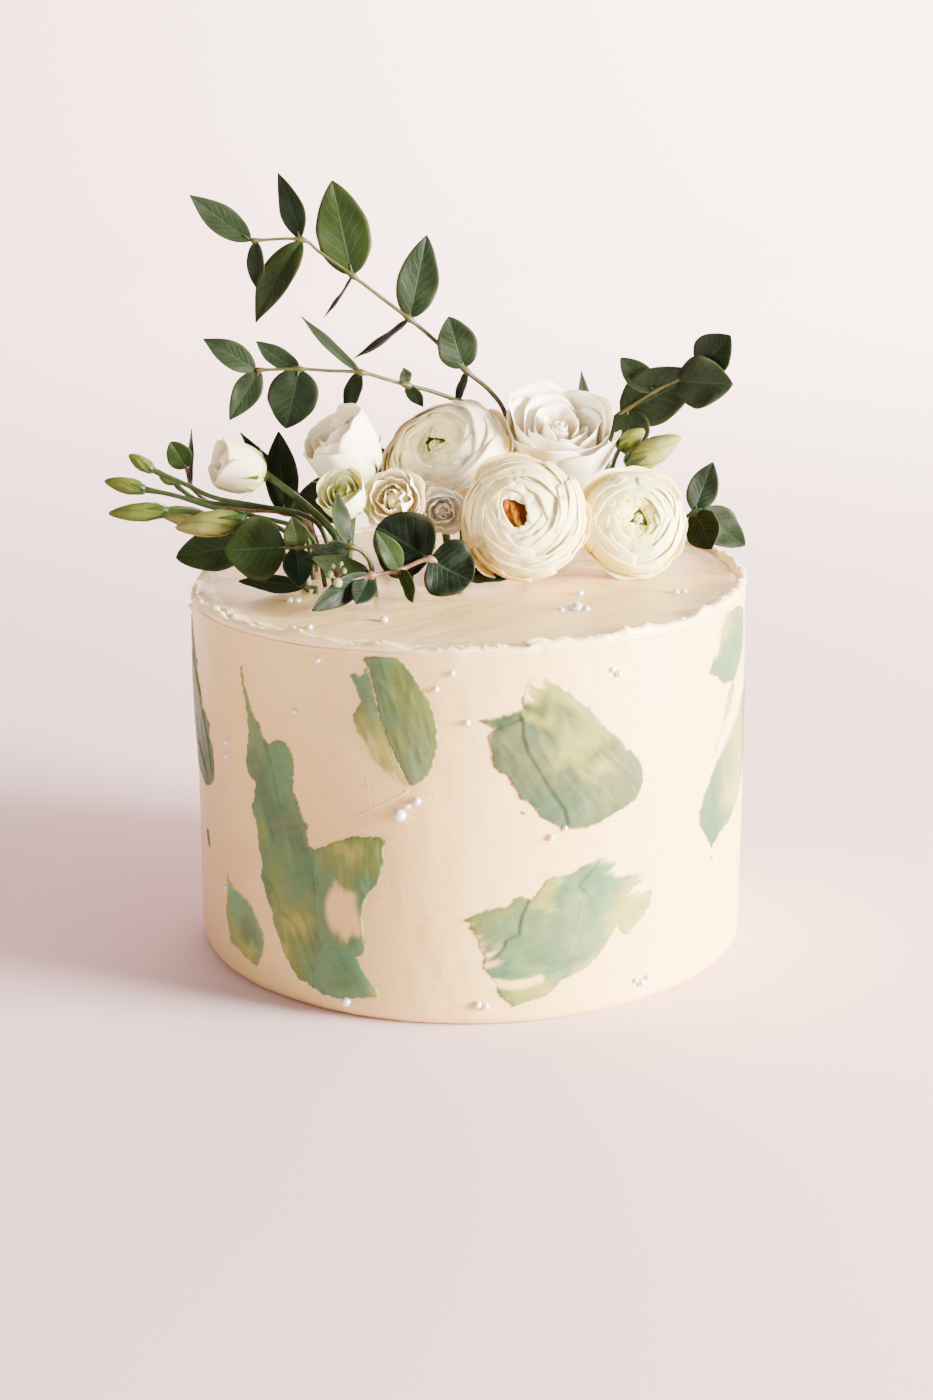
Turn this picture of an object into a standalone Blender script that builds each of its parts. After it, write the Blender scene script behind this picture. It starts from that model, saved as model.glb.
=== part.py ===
# Tall frosted cake with painted buttercream strokes, sugar pearls, fresh flowers and eucalyptus.
# Metres, +Z up. The cake stands on z = 0 with its axis on Z, and its front looks towards -Y.

import math
import random
from collections import namedtuple

import bpy
from mathutils import Matrix, Vector

# Driving dimensions
CAKE_RADIUS = 0.102
TOP_HEIGHT = 0.1345
TOP_SLOPE = 0.0174
FOOT_ROUNDING = 0.005
LIP_HEIGHT = 0.0026
LIP_WIDTH = 0.0035
LIP_LEVEL = 0.85
SIDE_SWAY = 0.0002
SIDE_STEPS = 56
STROKE_RELIEF = 0.0009
STROKE_HIGH = 1.25
STROKE_LOW = 0.9
STROKE_ROOT = 0.0012
STROKE_EDGE = 0.0003
WIDE_STROKE = 27
PEARL_SUNK = 0.25
PEARL_SIDES = 5
LEAF_THICKNESS = 0.0006
LEAF_POINT = 0.0005
LEAF_WAVE = 0.10
FLOWER_SIDES = 14
FLOWER_STEM = 0.0016
HEAD_SHARE = 0.96
PETAL_SWELL = 0.05
PETAL_LIFT = 0.05
GAP = 0.0003
SEED = 11

VIEWED_FROM = Vector((0.0, -1.0, 0.3))

Leaf = namedtuple("Leaf", "at tip width turn bow roundness")
Flower = namedtuple("Flower", "kind centre faces radius foot petals")
Bud = namedtuple("Bud", "tip base radius route")
Stroke = namedtuple("Stroke", "start end edges")


def srgb(red, green, blue):
    """A colour as seen on a screen, 0 to 255, made linear."""
    return tuple((value / 255.0) ** 2.2 for value in (red, green, blue)) + (1.0,)


def material(name, colour, roughness, coat=0.0):
    made = bpy.data.materials.new(name)
    made.use_nodes = True
    shader = made.node_tree.nodes["Principled BSDF"]
    shader.inputs["Base Color"].default_value = colour
    shader.inputs["Roughness"].default_value = roughness
    shader.inputs["Metallic"].default_value = 0.0
    shader.inputs["Coat Weight"].default_value = coat
    made.diffuse_color = colour
    return made


def top_z(x):
    """Height of the icing's flat top, which rises a little towards +X."""
    return TOP_HEIGHT + TOP_SLOPE * x


def on_top(x, y):
    """A point that clears the icing by the gap between touching pieces."""
    return (x, y, top_z(x) + GAP)


def new_object(name, points, faces, finish):
    mesh = bpy.data.meshes.new(name)
    mesh.from_pydata([tuple(p) for p in points], [], faces)
    mesh.validate()
    mesh.materials.append(finish)
    mesh.shade_smooth()
    mesh.set_sharp_from_angle(angle=math.radians(50))
    made = bpy.data.objects.new(name, mesh)
    bpy.context.scene.collection.objects.link(made)
    return made


def fuse(body, extras):
    """One union of the extras with the body, applied. The extras are then removed."""
    group = bpy.data.collections.new(body.name + "_extras")
    bpy.context.scene.collection.children.link(group)
    for extra in extras:
        bpy.context.scene.collection.objects.unlink(extra)
        group.objects.link(extra)
    join = body.modifiers.new("join", "BOOLEAN")
    join.operation = "UNION"
    join.solver = "EXACT"
    join.operand_type = "COLLECTION"
    join.collection = group
    bpy.context.view_layer.update()
    graph = bpy.context.evaluated_depsgraph_get()
    joined = bpy.data.meshes.new_from_object(body.evaluated_get(graph))
    body.modifiers.clear()
    body.data = joined
    for extra in extras:
        bpy.data.objects.remove(extra)
    bpy.data.collections.remove(group)
    return body


def ring_faces(rings, sides):
    """Quads between rings of points that follow each other, turned outwards for rings that rise."""
    faces = []
    for ring in range(rings - 1):
        for side in range(sides):
            after = (side + 1) % sides
            low, high = ring * sides, (ring + 1) * sides
            faces.append((low + side, low + after, high + after, high + side))
    return faces


def turned(name, rings, first, last, finish):
    """A closed body from rings of points, with a point that closes each end."""
    sides = len(rings[0])
    points = [p for ring in rings for p in ring] + [first, last]
    faces = ring_faces(len(rings), sides)
    bottom, top = len(points) - 2, len(points) - 1
    start = (len(rings) - 1) * sides
    for side in range(sides):
        after = (side + 1) % sides
        faces.append((bottom, after, side))
        faces.append((top, start + side, start + after))
    return new_object(name, points, faces, finish)


def tube(name, route, radii, sides, finish):
    """A round tube along a route, with its own radius at each point."""
    points = [Vector(p) for p in route]
    rings = []
    across = None
    for i, point in enumerate(points):
        ahead = points[min(i + 1, len(points) - 1)] - points[max(i - 1, 0)]
        ahead.normalize()
        if across is None:
            across = ahead.orthogonal().normalized()
        across = (across - ahead * across.dot(ahead)).normalized()
        other = ahead.cross(across)
        ring = []
        for side in range(sides):
            angle = 2 * math.pi * side / sides
            ring.append(point + (across * math.cos(angle) + other * math.sin(angle)) * radii[i])
        rings.append(ring)
    return turned(name, rings, points[0], points[-1], finish)


def between(points, place):
    """The point of a route at a place counted in its points, such as 2.5."""
    i = min(int(place), len(points) - 2)
    return Vector(points[i]).lerp(Vector(points[i + 1]), place - i)


# The cake


# Waves along the rim's lip: size, how many there are in a turn, and where they start.
LIP_WAVES = ((0.22, 5, 1.0), (0.20, 11, 0.4), (0.16, 23, 0.0))


def lip_wave(angle):
    """Uneven height of the rim's ragged lip, between about 0.3 and 1.4."""
    return LIP_LEVEL + sum(size * math.sin(count * angle + start) for size, count, start in LIP_WAVES)


def cake_rings():
    """Radius and height of each ring of the body, from the foot up over the lip to the flat top."""
    foot = FOOT_ROUNDING
    side = [
        (CAKE_RADIUS - foot, 0.0, 0),
        (CAKE_RADIUS - 0.45 * foot, 0.2 * foot, 0),
        (CAKE_RADIUS - 0.1 * foot, foot, 0),
        (CAKE_RADIUS, 0.34 * TOP_HEIGHT, 0),
        (CAKE_RADIUS, 0.7 * TOP_HEIGHT, 0),
    ]
    lip = [
        (CAKE_RADIUS, TOP_HEIGHT - 0.001, 0.3),
        (CAKE_RADIUS - 0.15 * LIP_WIDTH, TOP_HEIGHT, 1),
        (CAKE_RADIUS - 0.6 * LIP_WIDTH, TOP_HEIGHT, 0.8),
    ]
    flat = [(CAKE_RADIUS - 1.4 * LIP_WIDTH, TOP_HEIGHT, 0), (0.5 * CAKE_RADIUS, TOP_HEIGHT, 0)]
    return side + lip + flat


def cake_body(finish):
    rings = []
    for radius, height, lift in cake_rings():
        ring = []
        for step in range(SIDE_STEPS):
            angle = 2 * math.pi * step / SIDE_STEPS
            sway = SIDE_SWAY * math.sin(3 * angle + 40 * height) if height > FOOT_ROUNDING else 0.0
            x = (radius + sway) * math.cos(angle)
            y = (radius + sway) * math.sin(angle)
            z = height + TOP_SLOPE * x * (height / TOP_HEIGHT) ** 4
            ring.append((x, y, z + lift * LIP_HEIGHT * lip_wave(angle)))
        rings.append(ring)
    return turned("cake", rings, (0, 0, 0), (0, 0, TOP_HEIGHT), finish)


def on_side(along, height, out):
    """A point on the cake's side: metres round from the front, height, and how far it stands proud."""
    angle = along / CAKE_RADIUS
    radius = CAKE_RADIUS + out
    return (radius * math.sin(angle), -radius * math.cos(angle), height)


# Each stroke runs from start to end, given as metres round the side from the front and height.
# Its edges are its reach to either side of that line, in millimetres at even steps: for one that
# runs down, first towards -U and then towards +U, and for one that runs right, below and above.
STROKES = {
    "upper_left_leaf": Stroke(
        (-0.031, 0.1310), (-0.0195, 0.087), [(-2, 2), (-4, 10), (-5, 12), (-4, 13), (-3, 10), (-1, 1)]
    ),
    "upper_left_smear": Stroke(
        (-0.039, 0.126), (-0.026, 0.093), [(-1, 3), (-3, 3), (-6, 2), (-5, 2), (-1, 2)]
    ),
    "long_left": Stroke(
        (-0.0887, 0.111),
        (-0.051, 0.0084),
        [(-1, 1), (-6, 4), (-9, 15), (-11, 11), (-16, 12), (-18, 10), (-16, 6), (-15, 6), (-2, 7)],
    ),
    "left_lobe": Stroke(
        (-0.0418, 0.0674), (-0.0408, 0.0251), [(-5, 13), (-14, 12), (-15, 8), (-4, 4), (-3, 3), (-2, 3)]
    ),
    "left_hook": Stroke((-0.0513, 0.0315), (-0.0376, 0.0092), [(-4, 1), (-6, 4), (-9, 5), (-10, 5), (-1, 5)]),
    "low_left_dab": Stroke(
        (-0.0993, 0.0386), (-0.0902, 0.0085), [(-4, 1), (-10, 9), (-12, 11), (-12, 9), (-2, 4)]
    ),
    "left_edge": Stroke((-0.148, 0.117), (-0.119, 0.070), [(-2, 1), (-5, 9), (-9, 12), (-10, 10), (-2, 1)]),
    "big_centre_leaf": Stroke(
        (0.0127, 0.1205),
        (0.0498, 0.0696),
        [(-3, 7), (-14, 14), (-18, 17), (-18, 19), (-18, 20), (-16, 21), (-12, 21), (-2, 12)],
    ),
    "low_centre": Stroke(
        (-0.0005, 0.0287),
        (0.0664, 0.0462),
        [(-2, 11), (-21, 13), (-23, 14), (-21, 15), (-19, 16), (-16, 17), (-12, 17), (-12, 10), (-5, 5)],
    ),
    "right_top": Stroke(
        (0.1220, 0.1290), (0.1095, 0.109), [(-3, 12), (-10, 18), (-11, 17), (-11, 12), (-9, 2)]
    ),
    "right_low": Stroke(
        (0.1243, 0.0862), (0.1029, 0.0489), [(-2, 8), (-12, 14), (-16, 14), (-14, 9), (-1, 1)]
    ),
}

# The same kinds of stroke, laid round the back: the one it looks like, and where it runs.
BACK_STROKES = {
    "back_leaf_1": ("big_centre_leaf", (0.176, 0.098), (0.206, 0.050)),
    "back_leaf_2": ("upper_left_leaf", (0.232, 0.124), (0.246, 0.080)),
    "back_long": ("long_left", (-0.196, 0.122), (-0.224, 0.024)),
    "back_low": ("low_centre", (0.214, 0.024), (0.276, 0.040)),
    "back_leaf_3": ("big_centre_leaf", (-0.312, 0.110), (-0.276, 0.062)),
}


def stroke_patch(name, start, end, edges, finish):
    """A thin raised patch that follows the side, with its root inside the icing."""
    length = math.dist(start, end)
    ahead = ((end[0] - start[0]) / length, (end[1] - start[1]) / length)
    across = (-ahead[1], ahead[0])
    widest = max(far - near for near, far in edges)
    columns = 3 if widest > WIDE_STROKE else 2
    outer, inner = [], []
    for row, (near, far) in enumerate(edges):
        run = length * row / (len(edges) - 1)
        for column in range(columns + 1):
            reach = (near + (far - near) * column / columns) * 0.001
            along = start[0] + ahead[0] * run + across[0] * reach
            height = start[1] + ahead[1] * run + across[1] * reach
            rim = row in (0, len(edges) - 1) or column in (0, columns)
            level = STROKE_HIGH if (row + column) % 3 == 0 else STROKE_LOW
            proud = STROKE_EDGE if rim else STROKE_RELIEF * level
            outer.append(on_side(along, height, proud))
            inner.append(on_side(along, height, -STROKE_ROOT))
    return slab(name, outer, inner, len(edges), columns + 1, finish)


def slab(name, upper, lower, rows, columns, finish):
    """A closed thin body between two grids of points, both split into triangles alike."""
    count = rows * columns
    faces = []
    for row in range(rows - 1):
        for column in range(columns - 1):
            a = row * columns + column
            b, c, d = a + 1, a + columns + 1, a + columns
            faces += [(a, b, c), (a, c, d)]
            faces += [(count + a, count + c, count + b), (count + a, count + d, count + c)]
    border = list(range(columns))
    border += [row * columns + columns - 1 for row in range(1, rows)]
    border += [(rows - 1) * columns + column for column in range(columns - 2, -1, -1)]
    border += [row * columns for row in range(rows - 2, 0, -1)]
    for i, a in enumerate(border):
        b = border[(i + 1) % len(border)]
        faces += [(a, count + a, count + b), (a, count + b, b)]
    made = new_object(name, list(upper) + list(lower), faces, finish)
    face_outwards(made)
    return made


def face_outwards(made):
    """Turns a closed mesh the right way out, judged by the volume its faces enclose."""
    made.data.calc_loop_triangles()
    points = made.data.vertices
    volume = 0.0
    for triangle in made.data.loop_triangles:
        a, b, c = (points[i].co for i in triangle.vertices)
        volume += a.dot(b.cross(c))
    if volume < 0:
        made.data.flip_normals()


# Sugar pearls: on the side by metres round, height and radius; on the top by x, y and radius.
SIDE_PEARLS = [
    (-0.0537, 0.1285, 0.0012),
    (-0.064, 0.109, 0.0012),
    (-0.102, 0.090, 0.0012),
    (-0.1025, 0.0848, 0.0012),
    (-0.0113, 0.1217, 0.0011),
    (-0.0059, 0.1273, 0.0011),
    (-0.001, 0.1103, 0.0011),
    (0.0524, 0.1234, 0.0014),
    (0.0500, 0.1250, 0.0010),
    (-0.0242, 0.0768, 0.0023),
    (-0.0214, 0.0805, 0.0013),
    (-0.0182, 0.0821, 0.0015),
    (0.0277, 0.0682, 0.0013),
    (0.0327, 0.0709, 0.0011),
    (-0.1076, 0.0334, 0.0011),
    (-0.045, 0.0062, 0.0018),
    (0.0021, 0.0088, 0.0014),
    (0.0048, 0.0080, 0.0013),
    (0.0638, 0.0087, 0.0015),
    (0.0665, 0.0098, 0.0013),
    (0.0612, 0.0100, 0.0011),
    (0.1031, 0.0451, 0.0012),
    (-0.147, 0.1290, 0.0013),
]
TOP_PEARLS = [
    (-0.0646, -0.0244, 0.0013),
    (-0.0618, -0.0246, 0.0012),
    (-0.0553, -0.0640, 0.0012),
    (-0.0298, -0.0560, 0.0015),
    (0.0380, -0.0466, 0.0024),
    (0.0349, -0.0462, 0.0015),
    (0.0412, -0.0478, 0.0015),
    (0.0325, -0.0480, 0.0012),
    (0.0400, -0.0235, 0.0015),
    (0.0746, -0.0251, 0.0015),
    (0.0775, -0.0245, 0.0013),
]
BACK_PEARLS = 9


def pearl_places(rng):
    """Centre and radius of every pearl, each set partly into the icing."""
    places = []
    for along, height, radius in SIDE_PEARLS:
        places.append((Vector(on_side(along, height, PEARL_SUNK * radius)), radius))
    for x, y, radius in TOP_PEARLS:
        places.append((Vector((x, y, top_z(x) + PEARL_SUNK * radius)), radius))
    for _ in range(BACK_PEARLS):
        along = rng.uniform(0.165, 0.475)
        height = rng.uniform(0.008, 0.126)
        radius = rng.uniform(0.0011, 0.0018)
        places.append((Vector(on_side(along, height, PEARL_SUNK * radius)), radius))
    return places


def pearl(name, centre, radius, finish):
    """A small ball with few sides."""
    rings = []
    for level in (-0.45, 0.45):
        around = radius * math.sqrt(1 - level * level)
        ring = []
        for side in range(PEARL_SIDES):
            angle = 2 * math.pi * (side + 0.5 * (level > 0)) / PEARL_SIDES
            ring.append(centre + Vector((around * math.cos(angle), around * math.sin(angle), radius * level)))
        rings.append(ring)
    pole = Vector((0, 0, radius))
    return turned(name, rings, centre - pole, centre + pole, finish)


# Torn crumbs of icing on the lip: degrees round from the front, and size in metres.
LIP_CRAGS = [
    (-66, 0.0032),
    (-60, 0.0028),
    (-38, 0.0034),
    (-34, 0.0022),
    (-18, 0.0036),
    (13, 0.0040),
    (17, 0.0024),
    (32, 0.0046),
    (35, 0.0030),
    (55, 0.0038),
    (71, 0.0034),
]
BACK_CRAGS = 9
BACK_FROM = 95
BACK_TO = 265

# A crumb's two rings: how high each is, how wide, and how far it leans out, in shares of its size.
CRAG_RINGS = ((-0.5, 0.9, 0.0), (0.35, 0.7, 0.2))


def crag_places(rng):
    places = list(LIP_CRAGS)
    for step in range(BACK_CRAGS):
        degrees = BACK_FROM + (BACK_TO - BACK_FROM) * (step + rng.uniform(0.2, 0.8)) / BACK_CRAGS
        places.append((degrees, rng.uniform(0.0024, 0.0040)))
    return places


def crag(name, degrees, size, rng, finish):
    """A ragged wedge that leans out from the lip."""
    angle = math.radians(degrees)
    reach = CAKE_RADIUS - 0.4 * LIP_WIDTH
    x, y = reach * math.sin(angle), -reach * math.cos(angle)
    centre = Vector((x, y, top_z(x) + 0.5 * LIP_HEIGHT))
    out = Vector((math.sin(angle), -math.cos(angle), 0))
    along = Vector((math.cos(angle), math.sin(angle), 0))
    up = Vector((0, 0, 1))
    rings = []
    for lift, spread, lean in CRAG_RINGS:
        ring = []
        for side in range(4):
            turn = 2 * math.pi * side / 4
            wide = spread * rng.uniform(0.75, 1.15)
            step = along * math.cos(turn) * wide + out * (0.5 * math.sin(turn) * wide + lean)
            ring.append(centre + (step + up * (lift + rng.uniform(-0.08, 0.08))) * size)
        rings.append(ring)
    top = centre + (out * 0.45 + up * 0.85) * size
    return turned(name, rings, centre - up * 0.8 * size, top, finish)


def cake(finish):
    rng = random.Random(SEED)
    body = cake_body(finish)
    extras = []
    for name, stroke in STROKES.items():
        extras.append(stroke_patch(name, stroke.start, stroke.end, stroke.edges, finish))
    for name, (like, start, end) in BACK_STROKES.items():
        extras.append(stroke_patch(name, start, end, STROKES[like].edges, finish))
    for i, (centre, radius) in enumerate(pearl_places(rng)):
        extras.append(pearl(f"pearl_{i}", centre, radius, finish))
    for i, (degrees, size) in enumerate(crag_places(rng)):
        extras.append(crag(f"crag_{i}", degrees, size, rng, finish))
    return fuse(body, extras)


# Eucalyptus. A leaf grows from a place along its stem, counted in the stem's points, to its tip.
# Its turn, in degrees about its own length, is away from facing the front; its bow bends it back.

SPRIGS = {
    "eucalyptus_tall_sprig": (
        [
            on_top(0.018, 0.060),
            (0.019, 0.060, 0.162),
            (0.015, 0.056, 0.186),
            (0.009, 0.056, 0.196),
            (0.000, 0.055, 0.204),
            (-0.013, 0.053, 0.217),
            (-0.022, 0.051, 0.225),
            (-0.032, 0.049, 0.233),
            (-0.043, 0.046, 0.242),
            (-0.055, 0.044, 0.251),
            (-0.062, 0.042, 0.256),
            (-0.080, 0.038, 0.256),
        ],
        [
            Leaf(11, (-0.102, 0.036, 0.273), 0.0115, 10, 0.06, 0.9),
            Leaf(10.9, (-0.078, 0.040, 0.237), 0.0075, 20, -0.05, 0.9),
            Leaf(10, (-0.070, 0.046, 0.280), 0.0100, -25, 0.08, 0.9),
            Leaf(9.9, (-0.079, 0.036, 0.226), 0.0135, 15, -0.10, 0.9),
            Leaf(8, (-0.050, 0.048, 0.277), 0.0205, 0, 0.03, 0.75),
            Leaf(8, (-0.054, 0.042, 0.227), 0.0060, 70, 0.05, 0.9),
            Leaf(6, (-0.015, 0.054, 0.256), 0.0160, 10, -0.04, 0.8),
            Leaf(6, (-0.043, 0.046, 0.211), 0.0085, 60, 0.05, 0.9),
            Leaf(4.1, (-0.007, 0.048, 0.226), 0.0160, 5, 0.04, 0.7),
            Leaf(4, (-0.005, 0.057, 0.191), 0.0070, 55, 0.03, 0.9),
        ],
    ),
    "eucalyptus_low_sprig": (
        [
            on_top(0.008, 0.058),
            (0.009, 0.058, 0.165),
            (0.005, 0.054, 0.189),
            (-0.005, 0.051, 0.194),
            (-0.014, 0.047, 0.198),
            (-0.023, 0.043, 0.201),
            (-0.031, 0.039, 0.204),
            (-0.040, 0.036, 0.207),
            (-0.052, 0.034, 0.208),
            (-0.063, 0.032, 0.209),
            (-0.079, 0.030, 0.209),
        ],
        [
            Leaf(10, (-0.098, 0.028, 0.221), 0.0105, 10, -0.05, 0.9),
            Leaf(9.9, (-0.089, 0.026, 0.191), 0.0105, -15, 0.04, 0.85),
            Leaf(9, (-0.079, 0.036, 0.219), 0.0090, 25, 0.10, 0.8),
            Leaf(9, (-0.068, 0.024, 0.188), 0.0195, 5, 0.05, 0.7),
            Leaf(7, (-0.062, 0.038, 0.228), 0.0070, 50, 0.04, 0.95),
            Leaf(7, (-0.047, 0.041, 0.191), 0.0085, 30, 0.03, 0.9),
            Leaf(5, (-0.024, 0.040, 0.208), 0.0060, 30, 0.05, 0.9),
            Leaf(5, (-0.017, 0.046, 0.192), 0.0065, 35, 0.05, 0.9),
        ],
    ),
    "eucalyptus_right_sprig": (
        [
            on_top(0.046, 0.064),
            (0.047, 0.063, 0.160),
            (0.050, 0.060, 0.180),
            (0.059, 0.058, 0.187),
            (0.072, 0.056, 0.196),
            (0.080, 0.055, 0.200),
            (0.088, 0.054, 0.205),
        ],
        [
            Leaf(6, (0.100, 0.050, 0.218), 0.0165, -10, 0.08, 0.8),
            Leaf(5.0, (0.101, 0.046, 0.200), 0.0200, 10, -0.05, 0.75),
            Leaf(3.0, (0.088, 0.052, 0.203), 0.0215, -5, 0.04, 0.65),
            Leaf(4.0, (0.059, 0.062, 0.208), 0.0110, 10, 0.06, 0.7),
            Leaf(3.2, (0.062, 0.049, 0.172), 0.0175, 15, 0.06, 0.8),
            Leaf(1.6, (0.044, 0.061, 0.203), 0.0075, 25, 0.05, 0.9),
        ],
    ),
    "eucalyptus_right_low_sprig": (
        [on_top(0.072, 0.036), (0.076, 0.036, 0.146), (0.086, 0.034, 0.153), (0.089, 0.034, 0.1535)],
        [
            Leaf(2, (0.093, 0.036, 0.172), 0.0120, 5, 0.06, 0.8),
            Leaf(2, (0.092, 0.026, 0.1405), 0.0160, 35, 0.10, 0.7),
            Leaf(3, (0.106, 0.036, 0.1395), 0.0150, -10, 0.08, 0.75),
        ],
    ),
    "eucalyptus_front_sprig": (
        [
            on_top(-0.003, -0.020),
            (-0.006, -0.023, 0.142),
            (-0.014, -0.026, 0.149),
            (-0.025, -0.030, 0.146),
            (-0.035, -0.034, 0.145),
            (-0.044, -0.039, 0.1445),
            (-0.047, -0.041, 0.1455),
        ],
        [
            Leaf(2, (-0.033, -0.020, 0.160), 0.0250, -10, 0.06, 0.5),
            Leaf(2, (0.001, -0.029, 0.1415), 0.0225, -10, 0.06, 0.5),
            Leaf(4, (-0.056, -0.035, 0.152), 0.0095, 20, 0.08, 0.8),
            Leaf(4, (-0.055, -0.051, 0.1365), 0.0100, -30, 0.06, 0.75),
            Leaf(4, (-0.040, -0.044, 0.1372), 0.0095, -10, 0.06, 0.7),
            Leaf(3, (-0.033, -0.036, 0.162), 0.0085, 15, -0.12, 0.8),
            Leaf(3, (-0.020, -0.046, 0.138), 0.0070, 45, 0.10, 0.8),
        ],
    ),
    "eucalyptus_front_left_sprig": (
        [
            on_top(-0.034, -0.020),
            (-0.036, -0.022, 0.148),
            (-0.042, -0.0245, 0.1535),
            (-0.052, -0.0250, 0.1540),
            (-0.062, -0.0235, 0.1530),
            (-0.066, -0.0225, 0.1530),
        ],
        [
            Leaf(2, (-0.047, -0.0265, 0.174), 0.0085, 40, 0.10, 0.9),
            Leaf(2.1, (-0.059, -0.031, 0.1505), 0.0100, -35, -0.05, 0.8),
            Leaf(4, (-0.0605, -0.031, 0.1405), 0.0110, 0, 0.05, 0.7),
            Leaf(3.9, (-0.063, -0.0265, 0.1650), 0.0095, 5, -0.05, 0.8),
            Leaf(5, (-0.088, -0.0225, 0.1520), 0.0235, 0, 0.04, 0.7),
        ],
    ),
    "eucalyptus_left_sprig": (
        [
            on_top(-0.058, 0.023),
            (-0.060, 0.021, 0.152),
            (-0.071, 0.018, 0.1575),
            (-0.085, 0.0145, 0.1590),
            (-0.097, 0.0145, 0.1625),
            (-0.103, 0.015, 0.168),
            (-0.1045, 0.015, 0.175),
        ],
        [
            Leaf(6, (-0.110, 0.014, 0.1850), 0.0095, 0, 0.04, 0.6),
            Leaf(5, (-0.1025, 0.020, 0.189), 0.0045, 70, 0.03, 0.95),
            Leaf(1.8, (-0.0710, 0.0290, 0.1860), 0.0130, 15, 0.05, 0.8),
            Leaf(1.0, (-0.0680, 0.0270, 0.1640), 0.0060, 20, 0.04, 0.9),
        ],
    ),
    "leaf_behind_open_bud": (
        [on_top(-0.056, 0.034), (-0.060, 0.034, 0.150)],
        [Leaf(1, (-0.086, 0.036, 0.1845), 0.0085, 10, 0.04, 0.9)],
    ),
    "leaf_dark_left": (
        [on_top(-0.062, -0.003), (-0.070, 0.000, 0.145), (-0.082, 0.003, 0.1490)],
        [Leaf(2, (-0.109, 0.008, 0.1425), 0.0160, -5, 0.05, 0.65)],
    ),
    "leaf_flat_left": (
        [on_top(-0.056, -0.014), (-0.060, -0.015, 0.1365)],
        [Leaf(1, (-0.084, -0.014, 0.1385), 0.0080, -40, 0.04, 0.75)],
    ),
    "leaf_under_rose_left": (
        [on_top(-0.012, -0.004), (-0.010, -0.003, 0.139)],
        [Leaf(1, (0.002, 0.000, 0.1495), 0.0120, -5, 0.05, 0.65)],
    ),
    "leaf_under_rose": (
        [on_top(-0.006, -0.008), (-0.003, -0.0085, 0.1395)],
        [Leaf(1, (0.0145, -0.011, 0.1385), 0.0075, -40, 0.03, 0.6)],
    ),
    "eucalyptus_back_left_sprig": (
        [on_top(-0.014, 0.058), (-0.017, 0.060, 0.146), (-0.028, 0.062, 0.151), (-0.040, 0.062, 0.153)],
        [
            Leaf(3, (-0.066, 0.056, 0.1560), 0.0200, 185, 0.06, 0.7),
            Leaf(2, (-0.038, 0.058, 0.1760), 0.0180, 175, 0.08, 0.7),
            Leaf(2, (-0.036, 0.080, 0.1440), 0.0180, 235, 0.08, 0.7),
            Leaf(1, (-0.008, 0.068, 0.1740), 0.0200, 170, -0.06, 0.7),
        ],
    ),
    "eucalyptus_back_right_sprig": (
        [on_top(0.060, 0.050), (0.058, 0.058, 0.145), (0.052, 0.070, 0.149), (0.042, 0.076, 0.150)],
        [
            Leaf(3, (0.020, 0.078, 0.1560), 0.0200, 180, 0.06, 0.7),
            Leaf(2, (0.044, 0.078, 0.1740), 0.0180, 175, 0.06, 0.7),
            Leaf(1.5, (0.080, 0.066, 0.1560), 0.0180, 185, 0.06, 0.7),
            Leaf(2.5, (0.050, 0.094, 0.1430), 0.0160, 215, 0.06, 0.7),
        ],
    ),
}
STEM_THICK = 0.0012
STEM_THIN = 0.0006
STEM_SIDES = 5
FOOT_RISE = Vector((0.0, 0.0, 0.002))
LEAF_ROWS = (0.0, 0.16, 0.45, 0.78, 1.0)


def leaf_half_width(part, roundness):
    """Half the leaf's width, as a share of its widest, at a part of the way from base to tip."""
    return math.sin(math.pi * part**0.8) ** roundness


def leaf(name, base, leaf_form, finish):
    base, tip = Vector(base), Vector(leaf_form.tip)
    ahead = tip - base
    length = ahead.length
    ahead.normalize()
    facing = VIEWED_FROM - ahead * VIEWED_FROM.dot(ahead)
    facing.normalize()
    facing = Matrix.Rotation(math.radians(leaf_form.turn), 3, ahead) @ facing
    across = ahead.cross(facing)
    upper, lower = [], []
    for part in LEAF_ROWS:
        rise = -4 * leaf_form.bow * part * (1 - part) * length
        half = max(0.5 * leaf_form.width * leaf_half_width(part, leaf_form.roundness), 0.5 * LEAF_POINT)
        for side in (-1, 0, 1):
            wave = LEAF_WAVE * half * abs(side) * (1 + math.sin(9 * part + 2 * side))
            middle = base + ahead * length * part + across * half * side + facing * (rise + wave)
            upper.append(middle + facing * 0.5 * LEAF_THICKNESS)
            lower.append(middle - facing * 0.5 * LEAF_THICKNESS)
    return slab(name, upper, lower, len(LEAF_ROWS), 3, finish)


def sprig(name, stem, leaves, finish):
    """A stem with its leaves grown onto it, as one body."""
    route = [stem[0], Vector(stem[0]) + FOOT_RISE] + list(stem[1:])
    last = len(route) - 1
    radii = [STEM_THICK + (STEM_THIN - STEM_THICK) * i / last for i in range(last + 1)]
    body = tube(name, route, radii, STEM_SIDES, finish)
    extras = []
    for i, form in enumerate(leaves):
        extras.append(leaf(f"{name}_leaf_{i}", between(stem, form.at), form, finish))
    return fuse(body, extras)


# Flowers. Each profile is the head's outline from its green base out and over to its middle,
# as radius and height along the way it faces, in shares of the head's radius.

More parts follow.
